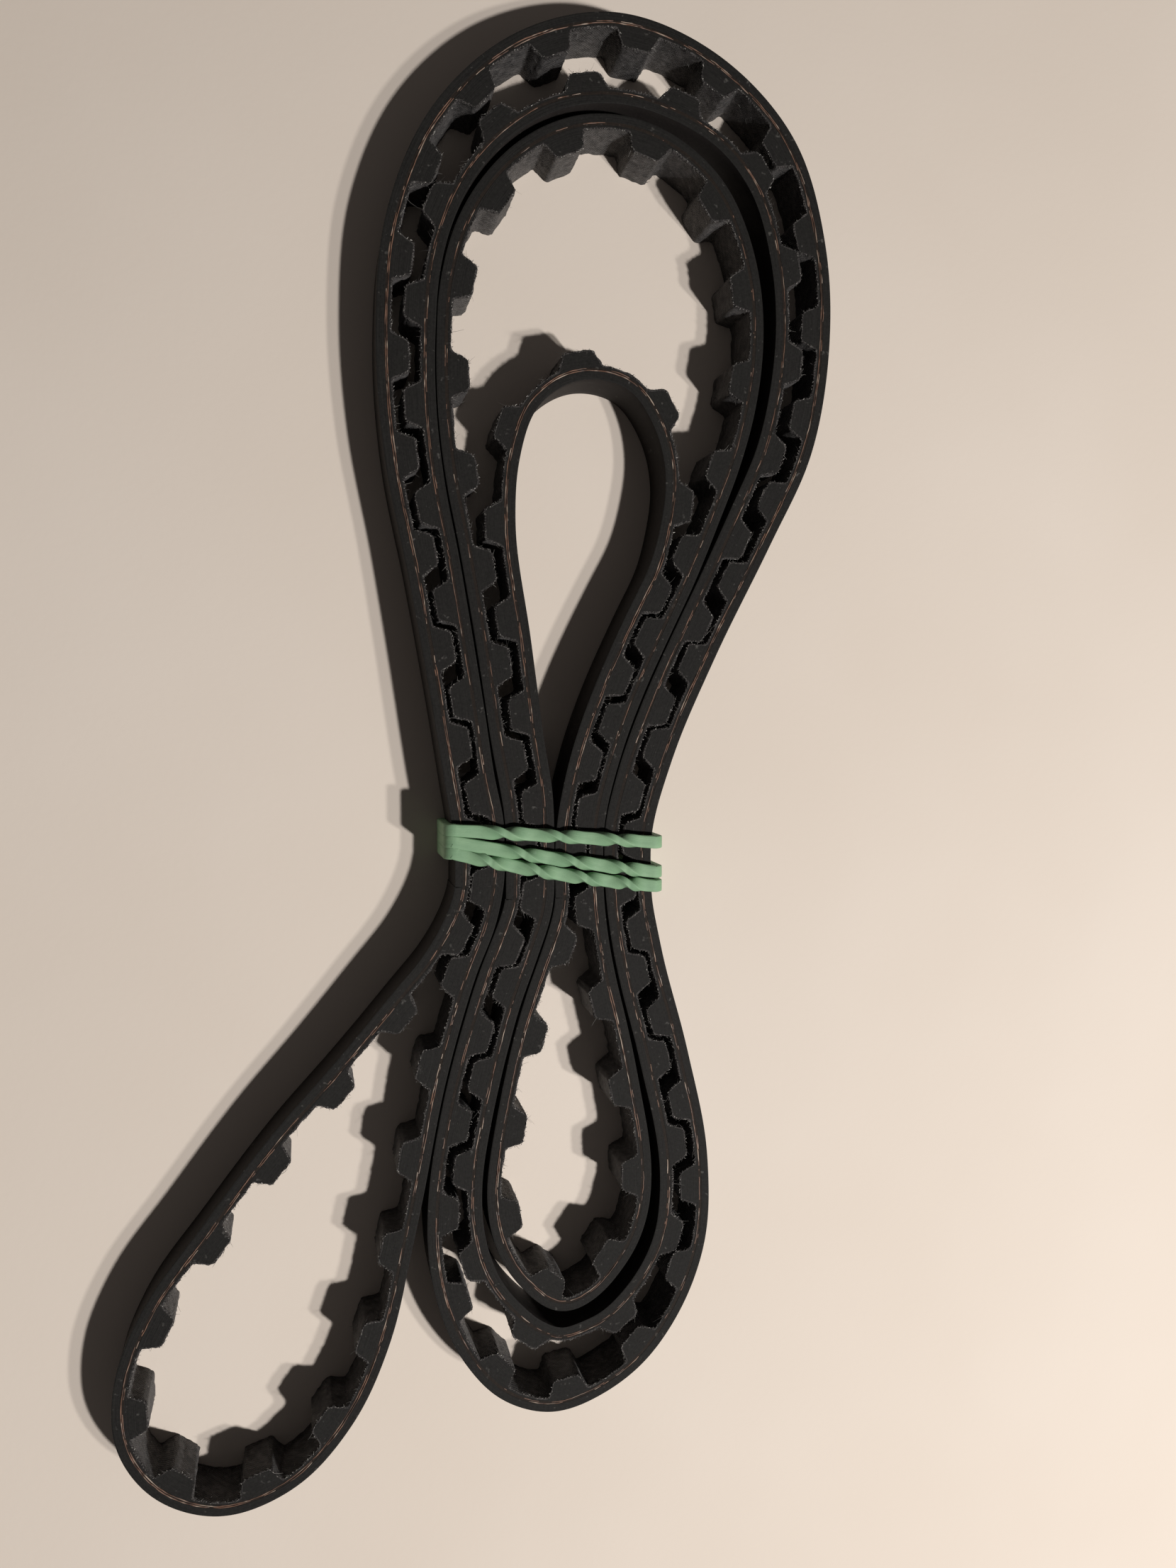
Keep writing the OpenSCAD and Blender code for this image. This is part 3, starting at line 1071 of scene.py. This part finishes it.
class Finishes:
    """Every material of the scene, made once."""

    def __init__(self) -> None:
        """Builds the shared effects and then the materials."""
        effects = Effects()
        cut = RubberFinish("CutRubber", rgb(0.0036, 0.0035, 0.0033), rgb(0.021, 0.0205, 0.019))
        back = RubberFinish("GroundBack", rgb(0.012, 0.01, 0.0095), rgb(0.025, 0.0215, 0.02), 3.0, 0.2)
        bed = RubberFinish("CordBed", rgb(0.006, 0.0055, 0.005), rgb(0.028, 0.02, 0.015), 12.0, 0.2)
        facing = FabricFinish("WovenFacing", rgb(0.0035, 0.0033, 0.0033), rgb(0.085, 0.079, 0.077))
        fibre = FibreFinish("WornFibre", rgb(0.03, 0.029, 0.028), rgb(0.46, 0.45, 0.42))
        self.cut_edge = cut.material(effects)
        self.back = back.material(effects)
        self.bed = bed.material(effects)
        self.facing = facing.material(effects)
        self.cord = CordFinish().material()
        self.fibre = fibre.material()
        self.band = BandFinish().material(effects)
        self.paper = PaperFinish().material()


class BeltTurnPieces:
    """Builds and dresses the pieces of one turn of the belt, in millimetres.

    Attributes:
        CHAMFER: size of the ground edges of the back.
        FACE_ROWS: rows of points over the height of the facing.
        LANES: where the two cord filaments lie across the layer of cords.
        PRESSED: half width of the stretch where the band presses the fibres flat.
        BLEND_SPAN: a distance below the cut, in millimetres.
        SAG_FROM: distance from the waist at which the loops begin to sag.
        SAG_TO: distance from the waist at which they lie on the paper.
    """

    CHAMFER = 0.05
    FACE_ROWS = 15
    LANES = (-0.11, 0.12)
    PRESSED = 8.0
    BLEND_SPAN = 11
    SAG_FROM = 7.0
    SAG_TO = 50.0

    def __init__(self, turn: Turn, number: int, finishes: Finishes) -> None:
        """Draws the turn's toothed line.

        Args:
            turn: the turn.
            number: its number, from which its random marks follow.
            finishes: the materials.
        """
        self.turn = turn
        self.number = number
        self.finishes = finishes
        self.rng = np.random.default_rng(100 + number)
        self.profile = ToothedLine(turn).profile()

    def _facts(self, along: np.ndarray, across: np.ndarray) -> Facts:
        """Values that the rubber finishes read.

        Args:
            along: distance along the turn at each vertex.
            across: distance across it.

        Returns:
            The values by name.
        """
        return {"along": along.ravel(), "across": across.ravel(),
                "seed": np.full(along.size, 7.3 * self.number)}

    def _facing_line(self) -> tuple[np.ndarray, np.ndarray]:
        """Distance along the facing and its outward direction, at each station."""
        prof = self.profile
        out = prof.outer - prof.inner
        out = out / np.maximum(np.linalg.norm(out, axis=1, keepdims=True), 1e-6)
        steps = np.linalg.norm(np.diff(prof.outer, axis=0), axis=1)
        return np.concatenate([[0.0], np.cumsum(steps)]), out

    def _slab(self, name: str, low: np.ndarray, high: np.ndarray, d_low: float, d_high: np.ndarray,
              rounded: bool, top: float, side_finish: bpy.types.Material) -> bpy.types.Object:
        """A layer of the belt between two lines of the plan.

        Args:
            name: the piece's name.
            low: the line nearer the back.
            high: the line nearer the teeth.
            d_low: depth of the first line.
            d_high: depth of the second line at each station.
            rounded: whether the first line's edges are rounded.
            top: height of the layer's cut edge.
            side_finish: the finish of the first line's upright face.

        Returns:
            The layer's object.
        """
        sec, c = SECTION, self.CHAMFER if rounded else 0.0
        span = high - low
        reach = np.maximum(np.linalg.norm(span, axis=1, keepdims=True), 1e-6)
        rings, across = [], []

        def put(share: float, inset: float, z: float) -> None:
            """Adds one point to every ring.

            Args:
                share: share of the way from the first line to the second.
                inset: distance further in.
                z: height.
            """
            at = low + span * share + span / reach * inset
            rings.append(np.column_stack([at, np.full(len(at), z)]))
            across.append(d_low + (d_high - d_low) * share)

        put(0, c, sec.lift)
        put(0, 0, sec.lift + c + 0.01)
        for z in np.linspace(sec.lift + 1.5, top - 1.5, 3):
            put(0, 0, float(z))
        put(0, 0, top - c - 0.01)
        put(0, c * 0.35, top - c * 0.3)
        put(0, c, top)
        for share in (0.25, 0.5, 0.75):
            put(share, 0, top)
        put(1, 0, top)
        put(1, 0, sec.lift)
        grid = np.stack(rings, 1)
        verts, faces = MeshWork.sweep(grid)
        faces = MeshWork.face_out(verts, faces)
        m = grid.shape[1]
        upright = (1, 2, 3, 4)
        picks = np.zeros(len(faces), int)
        picks[:-2] = np.isin(np.arange(len(faces) - 2) % m, upright).astype(int)
        along = np.repeat(self.profile.s[:, None], m, 1)
        facts = self._facts(along, np.stack(across, 1))
        return MeshWork.build(name, verts, faces, [self.finishes.cut_edge, side_finish], picks, facts)

    def backing(self) -> bpy.types.Object:
        """The smooth rubber backing."""
        sec, s = SECTION, self.profile.s
        low, high = self.turn.off(s, -sec.back), self.turn.off(s, -sec.cord / 2)
        deep = np.full(len(s), -sec.cord / 2)
        return self._slab(f"backing_rubber_{self.turn.name}", low, high, -sec.back, deep, True,
                          sec.top, self.finishes.back)

    def teeth(self) -> bpy.types.Object:
        """The rubber teeth and the land between them."""
        sec, s = SECTION, self.profile.s
        low = self.turn.off(s, sec.cord / 2)
        deep = sec.land - sec.facing + self.profile.rise * sec.tooth_h
        return self._slab(f"tooth_rubber_{self.turn.name}", low, self.profile.inner, sec.cord / 2,
                          deep, False, sec.top, self.finishes.cut_edge)

    def cords(self) -> bpy.types.Object:
        """The layer of cords: a bed of rubber and filaments shown at the upper cut edge."""
        sec, s = SECTION, self.profile.s
        low, high = self.turn.off(s, -sec.cord / 2), self.turn.off(s, sec.cord / 2)
        bed_top = sec.top - 0.03
        rings = [np.column_stack([p, np.full(len(s), z)])
                 for p, z in ((low, sec.lift), (low, bed_top), (high, bed_top), (high, sec.lift))]
        verts, faces = MeshWork.sweep(np.stack(rings, 1))
        faces = MeshWork.face_out(verts, faces)
        along = np.repeat(s[:, None], 4, 1)
        across = np.tile(np.array([-1, -1, 1, 1]) * sec.cord / 2, (len(s), 1))
        facts = self._facts(along, across)
        facts["paleness_and_painted_glint"] = np.zeros(len(verts))
        all_verts, all_faces, picks = [verts], list(faces), [0] * len(faces)
        count = len(verts)
        for lane in self.LANES:
            tube, tube_faces, paleness_and_painted_glint = self._filament(lane)
            all_verts.append(tube)
            all_faces += [[i + count for i in f] for f in tube_faces]
            picks += [1] * len(tube_faces)
            for key in ("along", "across", "seed"):
                facts[key] = np.concatenate([facts[key], np.zeros(len(tube))])
            facts["paleness_and_painted_glint"] = np.concatenate([facts["paleness_and_painted_glint"], paleness_and_painted_glint])
            count += len(tube)
        return MeshWork.build(f"cord_layer_{self.turn.name}", np.vstack(all_verts), all_faces,
                              [self.finishes.bed, self.finishes.cord], np.array(picks), facts, 60.0)

    def _filament(self, lane: float) -> tuple[np.ndarray, Faces, np.ndarray]:
        """One cord filament that dips in and out of the cut edge.

        Args:
            lane: where it lies across the layer of cords.

        Returns:
            Its vertices, its faces and its painted glint, how pale it is at each vertex.
        """
        rng, turn, sides = self.rng, self.turn, 6
        s = np.arange(0.3, turn.teeth * turn.step - 0.3, 0.3)
        wander = lane + 0.05 * drift(s, rng, 3.0) + 0.025 * drift(s, rng, 0.7)
        dip = 0.11 * drift(s, rng, 2.4) + 0.07 * drift(s, rng, 0.8) + 0.1 * drift(s, rng, 14.0)
        z = SECTION.top - 0.15 + 0.12 * turn.cord_shown + np.minimum(dip, 0.05)
        p = turn.off(s, wander)
        q = turn.off(s, wander + 1.0) - p
        radius = 0.075 + 0.02 * drift(s, rng, 1.1)
        rings = []
        for a in np.radians(np.arange(0, 360, 360 // sides)):
            out = np.cos(a) * radius
            rings.append(np.column_stack([p + q * out[:, None], z + np.sin(a) * radius]))
        verts, faces = MeshWork.sweep(np.stack(rings, 1))
        faces = MeshWork.face_out(verts, faces)
        # Painted glints: random pale stretches along the filament stand in for light catching it.
        paleness_and_painted_glint = np.clip(drift(s, rng, 0.9) * 1.2 - 0.35 + 0.2 * drift(s, rng, 9.0), 0, 1)
        return verts, faces, np.repeat(paleness_and_painted_glint, sides)

    def facing(self) -> bpy.types.Object:
        """The woven facing that covers teeth and lands."""
        sec, prof, rng = SECTION, self.profile, self.rng
        around, out = self._facing_line()
        fray = 0.04 * drift(around, rng, 0.35)
        ragged = drift(around, rng, 0.42) + 0.6 * drift(around, rng, 1.7)
        rings = [np.column_stack([prof.inner, np.full(len(around), sec.lift)])]
        rings.append(np.column_stack([prof.inner, sec.top - 0.01 + fray]))
        middle = (prof.inner + prof.outer) / 2
        rings.append(np.column_stack([middle, sec.top + 0.015 + fray]))
        for z in np.linspace(sec.top - 0.07, sec.lift, self.FACE_ROWS):
            lump = 0.1 * ragged + 0.035 * rng.normal(0, 1, len(around))
            at = prof.outer + out * (np.clip(lump, -0.12, 0.08) - 0.03)[:, None]
            rings.append(np.column_stack([at, np.full(len(around), z)]))
        grid = np.stack(rings, 1)
        verts, faces = MeshWork.sweep(grid)
        faces = MeshWork.face_out(verts, faces)
        m = grid.shape[1]
        facts = self._facts(np.repeat(prof.s[:, None], m, 1), np.zeros((len(around), m)))
        facts["around"] = np.repeat(around, m)
        facts["height"] = verts[:, 2]
        facts["tuft"] = rng.beta(0.7, 1.5, len(verts))
        return MeshWork.build(f"woven_facing_{self.turn.name}", verts, faces,
                              [self.finishes.facing], None, facts, 60.0)

    def fuzz(self) -> bpy.types.Object:
        """Worn fibres and pale specks along the facing, their paleness partly painted glint."""
        prof, rng = self.profile, self.rng
        around, out = self._facing_line()
        ends = np.arange(0.2, around[-1] - 0.2, 0.47)
        lint = rng.uniform(0, around[-1], int(around[-1] * 5.0))
        t = np.concatenate([ends + rng.normal(0, 0.07, len(ends)), lint])
        t = np.clip(t, 0.05, around[-1] - 0.05)
        count, is_end = len(t), np.arange(len(t)) < len(ends)
        base = np.stack([np.interp(t, around, prof.outer[:, i]) for i in (0, 1)], 1)
        normal = np.stack([np.interp(t, around, out[:, i]) for i in (0, 1)], 1)
        tangent = np.stack([-normal[:, 1], normal[:, 0]], 1)
        on_edge = is_end | (rng.random(count) < 0.55)
        z = np.where(on_edge, SECTION.top - rng.uniform(-0.04, 0.1, count) + 0.05 * is_end,
                     SECTION.lift + rng.uniform(0.3, SECTION.width - 0.3, count))
        inset = np.where(on_edge, rng.uniform(-0.02, 0.24, count), 0.02)
        base = base - normal * inset[:, None]
        length = np.where(is_end, rng.uniform(0.1, 0.26, count), rng.gamma(2.2, 0.14, count) + 0.1)
        lean = rng.normal(0, 1.0, count)
        lift = np.where(on_edge, rng.uniform(-0.1, 0.55, count), rng.uniform(-0.7, 0.5, count))
        push = rng.uniform(0.05, 0.6, count)
        heading = np.column_stack([tangent * lean[:, None] + normal * push[:, None], lift])
        heading /= np.linalg.norm(heading, axis=1, keepdims=True)
        curl = rng.normal(0, 0.5, (count, 3))
        radius = np.where(is_end, rng.uniform(0.035, 0.085, count), rng.uniform(0.014, 0.03, count))
        verts, faces = self._fibres(np.column_stack([base, z]), heading, curl, length, radius)
        # Paleness of each fibre: partly its own pale tone, partly painted glint, brightest at the thread
        # ends.
        paleness_and_painted_glint = np.where(is_end, rng.beta(1.6, 1.9, count), rng.beta(1.0, 3.4, count))
        facts = {"paleness_and_painted_glint": np.repeat(paleness_and_painted_glint, len(verts) // count)}
        return MeshWork.build(f"facing_fuzz_{self.turn.name}", verts, faces,
                              [self.finishes.fibre], None, facts, 80.0)

    def _fibres(self, start: np.ndarray, heading: np.ndarray, curl: np.ndarray,
                length: np.ndarray, radius: np.ndarray) -> tuple[np.ndarray, Faces]:
        """Meshes tapered, curled fibres of three sides each.

        Args:
            start: where each fibre begins.
            heading: its direction.
            curl: the way it curls aside.
            length: its length.
            radius: its radius at the start.

        Returns:
            Vertices and faces.
        """
        count, levels = len(start), np.array([0.0, 0.4, 0.75, 1.0])
        side = np.cross(heading, np.array([0.3, 0.2, 0.93]))
        side /= np.linalg.norm(side, axis=1, keepdims=True)
        other = np.cross(heading, side)
        grid = np.zeros((count, 4, 3, 3))
        for i, u in enumerate(levels):
            centre = start + heading * (length * u)[:, None] + curl * (length * u * u * 0.4)[:, None]
            thick = radius * (1.0 - 0.55 * u)
            for j, a in enumerate(np.radians([0, 120, 240])):
                grid[:, i, j] = centre + (side * math.cos(a) + other * math.sin(a)) * thick[:, None]
        grid[..., 2] = np.maximum(grid[..., 2], SECTION.lift)
        pressed = np.clip(grid[..., 2], SECTION.lift + 0.05, SECTION.top + 0.06)
        grid[..., 2] = np.where(np.abs(grid[..., 1]) < self.PRESSED, pressed, grid[..., 2])
        first = np.arange(count) * 12
        quads = []
        for i in range(3):
            for j in range(3):
                k = (j + 1) % 3
                quads.append(np.stack([first + 3 * i + j, first + 3 * i + k,
                                       first + 3 * i + 3 + k, first + 3 * i + 3 + j], 1))
        caps = np.vstack([np.stack([first + 2, first + 1, first], 1),
                          np.stack([first + 9, first + 10, first + 11], 1)])
        return grid.reshape(-1, 3), np.vstack(quads).tolist() + caps.tolist()

    def _settle(self, obj: bpy.types.Object) -> None:
        """Lets the loops sag from the waist, held up by the band, onto the paper.

        Args:
            obj: the piece.
        """
        sag = SECTION.lift - 0.03
        points = np.zeros(len(obj.data.vertices) * 3)
        obj.data.vertices.foreach_get("co", points)
        points = points.reshape(-1, 3)
        t = np.clip((np.abs(points[:, 1]) / MM - self.SAG_FROM) / (self.SAG_TO - self.SAG_FROM), 0, 1)
        points[:, 2] -= sag * MM * t * t * (3 - 2 * t)
        obj.data.vertices.foreach_set("co", points.ravel())
        obj.data.update()

    def place(self, obj: bpy.types.Object, slot: str, nodes: tuple[str, ...] = ()) -> None:
        """Lets a piece sag, joins it to its body if it belongs to an upper turn, else bakes its place into
        the mesh, and hides the CAD nodes it stands for.

        Args:
            obj: the piece.
            slot: the record's material slot; not used.
            nodes: the CAD nodes that it replaces.
        """
        self._settle(obj)
        if self.turn.body is Body.UPPER:
            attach(obj, Body.UPPER.value)
        else:
            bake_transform(obj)
        if nodes:
            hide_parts(*nodes)
        LOG.info("%s: %d faces", obj.name, len(obj.data.polygons))

    def make(self) -> None:
        """Builds every piece of the turn."""
        name = self.turn.name
        self.place(self.backing(), "backing_rubber", (f"backing_{name}",))
        self.place(self.cords(), "tensile_cord", (f"cords_{name}",))
        self.place(self.teeth(), "tooth_rubber", (f"teeth_{name}",))
        self.place(self.facing(), "tooth_facing", (f"facing_{name}",))
        self.place(self.fuzz(), "tooth_facing")


@dataclass
class WoundBand:
    """The thin rubber band, wound three times and twisted as it goes, in millimetres.

    Its turns overlap a little where they bunch at the left, and the third crosses the
    other two at the same height underneath.

    Attributes:
        width: width of the band.
        thick: thickness of the band.
        left: place along the belt at which each turn passes the left side.
        middle: place at which each turn crosses the middle.
        right: place at which each turn passes the right side.
        flips: for each turn, where, over what length and which way it twists over on top.
        reach: half width of the loop that it makes round the bundle.
        CORNER: size of the band's own rounded corners.
        BEND: radius round the edges of the bundle.
        MARGIN: distance from an edge at which the straight sides begin.
        ABOVE: clearance over the cut edge.
        BELOW: clearance under the belt.
        FOOT: height of its lowest points over the floor.
    """

    width: float = 1.7
    thick: float = 1.15
    left: tuple[float, ...] = (3.75, 2.2, 0.7)
    middle: tuple[float, ...] = (2.65, -0.45, -2.45)
    right: tuple[float, ...] = (1.45, -2.65, -4.6)
    flips: tuple[tuple[tuple[float, float, int], ...], ...] = (
        ((-7.0, 7.5, 1), (0.5, 7.5, 1), (8.5, 7.5, 1)),
        ((-4.5, 7.0, 1), (2.5, 7.0, 1), (9.5, 6.5, 1)),
        ((-9.0, 6.5, 1), (-2.5, 6.5, 1), (4.0, 6.5, 1), (10.0, 5.5, 1)))
    reach: float = 14.0
    CORNER: ClassVar[float] = 0.16
    BEND: ClassVar[float] = 0.42
    MARGIN: ClassVar[float] = 1.2
    ABOVE: ClassVar[float] = 0.13
    BELOW: ClassVar[float] = 0.03
    FOOT: ClassVar[float] = 0.02

    def _edge(self, side: int, y: float, z: float, degrees: range) -> list[Station]:
        """Stations of the band as it goes round one edge of the bundle.

        Args:
            side: 1 at the right of the bundle, -1 at the left.
            y: place along the belt.
            z: height of the bend's centre.
            degrees: the directions passed, from the right anticlockwise.

        Returns:
            The stations.
        """
        out, centre = [], side * (self.reach - self.BEND)
        for a in np.radians(degrees).tolist():
            out.append((centre + self.BEND * math.cos(a), y, z + self.BEND * math.sin(a),
                        math.cos(a), math.sin(a), None))
        return out

    def _winding(self, i: int) -> list[Station]:
        """Stations of one winding: over the top, down, under and back up.

        Args:
            i: number of the winding.

        Returns:
            Point, outward direction and twist of each station; a twist of None keeps the last.
        """
        up, down = SECTION.top + self.ABOVE, SECTION.lift - self.BELOW
        high, low = up - self.BEND, down + self.BEND
        a, b, c = self.left[i], self.middle[i], self.right[i]
        d = self.left[(i + 1) % 3]
        out = []
        for x in np.linspace(-self.reach + self.BEND, self.reach - self.BEND, 90):
            t = x / self.reach
            y = b + (c - a) / 2 * t + ((a + c) / 2 - b) * t * t
            twist = 0.0
            for at, span, sign in self.flips[i]:
                turn = float(np.clip((x - at) / span + 0.5, 0, 1))
                twist += math.pi * sign * turn**2 * (3 - 2 * turn)
            out.append((x, y, up, 0.0, 1.0, twist))
        out += self._edge(1, c, high, range(80, -1, -10))
        out += [(self.reach, c, z, 1.0, 0.0, None)
                for z in np.linspace(up - self.MARGIN, down + self.MARGIN, 14)]
        out += self._edge(1, c, low, range(0, -91, -10))
        for x in np.linspace(self.reach - self.MARGIN, -self.reach + self.MARGIN, 60):
            t = (self.reach - x) / (2 * self.reach)
            out.append((x, c + (d - c) * t * t * (3 - 2 * t), down, 0.0, -1.0, None))
        out += self._edge(-1, d, low, range(-90, -181, -10))
        out += [(-self.reach, d, z, -1.0, 0.0, None)
                for z in np.linspace(down + self.MARGIN, up - self.MARGIN, 14)]
        return out + self._edge(-1, d, high, range(180, 99, -10))

    def _section(self) -> list[Point]:
        """Outline of the band's section, with rounded corners."""
        w, h, corner = self.width / 2, self.thick / 2, self.CORNER
        shape = []
        for sx, sy in ((1, 1), (-1, 1), (-1, -1), (1, -1)):
            pair = [(sx * (w - corner), sy * h), (sx * (w - 0.3 * corner), sy * (h - 0.3 * corner)),
                    (sx * w, sy * (h - corner))]
            shape += pair[::-1] if sx * sy > 0 else pair
            if sx == sy:
                shape += [(sx * w * 0.33, sy * h), (-sx * w * 0.33, sy * h)]
        return shape

    def build(self, finishes: Finishes) -> bpy.types.Object:
        """Sweeps the band along its three windings and closes it on itself.

        Args:
            finishes: the materials.

        Returns:
            The band.
        """
        rows, turned = [], 0.0
        for i in range(3):
            base = turned
            for *place, twist in self._winding(i):
                turned = turned if twist is None else base + twist
                rows.append((*place, turned))
        data = np.array(rows)
        centre, angle = data[:, :3], data[:, 5]
        normal = np.column_stack([data[:, 3], data[:, 3] * 0, data[:, 4]])
        ahead = np.roll(centre, -1, 0) - np.roll(centre, 1, 0)
        ahead /= np.linalg.norm(ahead, axis=1, keepdims=True)
        flat = np.cross(normal, ahead)
        flat /= np.linalg.norm(flat, axis=1, keepdims=True)
        face = np.cross(ahead, flat)
        wide = flat * np.cos(angle)[:, None] + face * np.sin(angle)[:, None]
        deep = np.cross(ahead, wide)
        stand = np.abs(np.cos(angle)) * self.thick / 2 + np.abs(np.sin(angle)) * self.width / 2
        centre = centre + face * stand[:, None]
        run = np.concatenate([[0.0], np.cumsum(np.linalg.norm(np.diff(centre, axis=0), axis=1))])
        wobble = 1 + 0.05 * drift(run, np.random.default_rng(41), 4.0)
        shape = self._section()
        grid = np.stack([centre + wide * (u * wobble)[:, None] + deep * v for u, v in shape], 1)
        n, m = grid.shape[:2]
        verts, faces = MeshWork.sweep(grid, caps=False)
        shift, last = self._closing_shift(grid), (n - 1) * m
        for j in range(m):
            k = (j + 1) % m
            faces.append([last + j, last + k, (k + shift) % m, (j + shift) % m])
        faces = MeshWork.face_out(verts, faces)
        verts[:, 2] = np.maximum(verts[:, 2], self.FOOT)
        facts = {"along": np.repeat(run, m), "across": np.tile([u for u, _ in shape], n),
                 "seed": np.full(n * m, 3.1)}
        return MeshWork.build("rubber_band_wound", verts, faces, [finishes.band], None, facts, 50.0)

    @staticmethod
    def _closing_shift(grid: np.ndarray) -> int:
        """How far the last ring is turned against the first.

        Args:
            grid: the rings of points.

        Returns:
            The number of points.
        """
        costs = [np.linalg.norm(grid[-1] - np.roll(grid[0], -k, 0)) for k in range(grid.shape[1])]
        return int(np.argmin(costs))

    def make(self, finishes: Finishes) -> None:
        """Builds the band and joins it to its body.

        Args:
            finishes: the materials.
        """
        obj = self.build(finishes)
        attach(obj, Body.BAND.value)
        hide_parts("rubber_band")
        LOG.info("%s: %d faces", obj.name, len(obj.data.polygons))


class Studio:
    """The pale paper, the lamps and the camera.

    Attributes:
        TARGET: the point that the camera looks at.
        EYE: where the camera stands.
        LENS: its focal length in millimetres, for a picture 36 mm high.
        PAPER_HALF: half the side of the paper, in millimetres.
        PAPER_Z: height of the paper, in millimetres.
        AIM: the point that both lamps point at, in metres.
    """

    TARGET = Vector((4.8, 9.5, 7.75)) * MM
    EYE = Vector((-33.2, 19.7, 166.78)) * MM
    LENS = 27.51
    PAPER_HALF = 900.0
    PAPER_Z = -0.05
    AIM = (0.0, 0.01, 0.0)

    def paper(self, finishes: Finishes) -> None:
        """Lays a wide sheet of paper under the belt.

        Args:
            finishes: the materials.
        """
        ends = (-self.PAPER_HALF, self.PAPER_HALF)
        verts = np.array([(x, y, self.PAPER_Z) for y in ends for x in ends])
        MeshWork.build("paper", verts, [[0, 1, 3, 2]], [finishes.paper])

    def lamp(self, name: str, place: tuple[float, float, float], power: float, size: float,
             colour: tuple[float, float, float]) -> None:
        """Hangs one square lamp.

        Args:
            name: the lamp's name.
            place: where it hangs, in metres.
            power: its power in watts.
            size: its side in metres.
            colour: its colour.
        """
        data = bpy.data.lights.new(name, "AREA")
        data.energy, data.size, data.color = power, size, colour
        obj = bpy.data.objects.new(name, data)
        obj.location = place
        obj.rotation_euler = (Vector(self.AIM) - Vector(place)).to_track_quat("-Z", "Y").to_euler()
        bpy.context.scene.collection.objects.link(obj)

    def lights(self) -> None:
        """A key lamp from the lower right, a weaker one beside it, and a warm room."""
        self.lamp("key", (0.29, -0.231, 0.55), 3.0, 0.028, (1.0, 0.952, 0.925))
        self.lamp("second", (0.40, -0.263, 0.55), 1.55, 0.03, (1.0, 0.95, 0.9))
        world = bpy.data.worlds.new("room")
        world.use_nodes = True
        room = world.node_tree.nodes["Background"]
        room.inputs["Color"].default_value = rgb(1.0, 0.9, 0.87)
        room.inputs["Strength"].default_value = 0.05
        bpy.context.scene.world = world

    def camera(self) -> None:
        """Stands the camera over the left of the bundle, looking down."""
        data = bpy.data.cameras.new("camera")
        data.sensor_fit = "VERTICAL"
        data.sensor_height = 36.0
        data.lens = self.LENS
        data.clip_start, data.clip_end = 0.01, 10.0
        cam = bpy.data.objects.new("camera", data)
        back = (self.EYE - self.TARGET).normalized()
        right = Vector((0, 1, 0)).cross(back)
        right.normalize()
        up = back.cross(right)
        rows = [(right[i], up[i], back[i], self.EYE[i]) for i in range(3)]
        cam.matrix_world = Matrix(rows + [(0, 0, 0, 1)])
        bpy.context.scene.collection.objects.link(cam)
        bpy.context.scene.camera = cam
        bpy.context.scene.view_settings.view_transform = "Standard"


def main() -> None:
    """Builds the belt, the band and the studio."""
    logging.basicConfig(level=logging.INFO, format="%(message)s")
    finishes = Finishes()
    route = FoldedRoute()
    for number, turn in enumerate(route.turns(), 1):
        LOG.info("turn %s: %d teeth, step %.2f", turn.name, turn.teeth, turn.step)
        BeltTurnPieces(turn, number, finishes).make()
    WoundBand().make(finishes)
    studio = Studio()
    studio.paper(finishes)
    studio.lights()
    studio.camera()


if __name__ == "__main__":
    main()
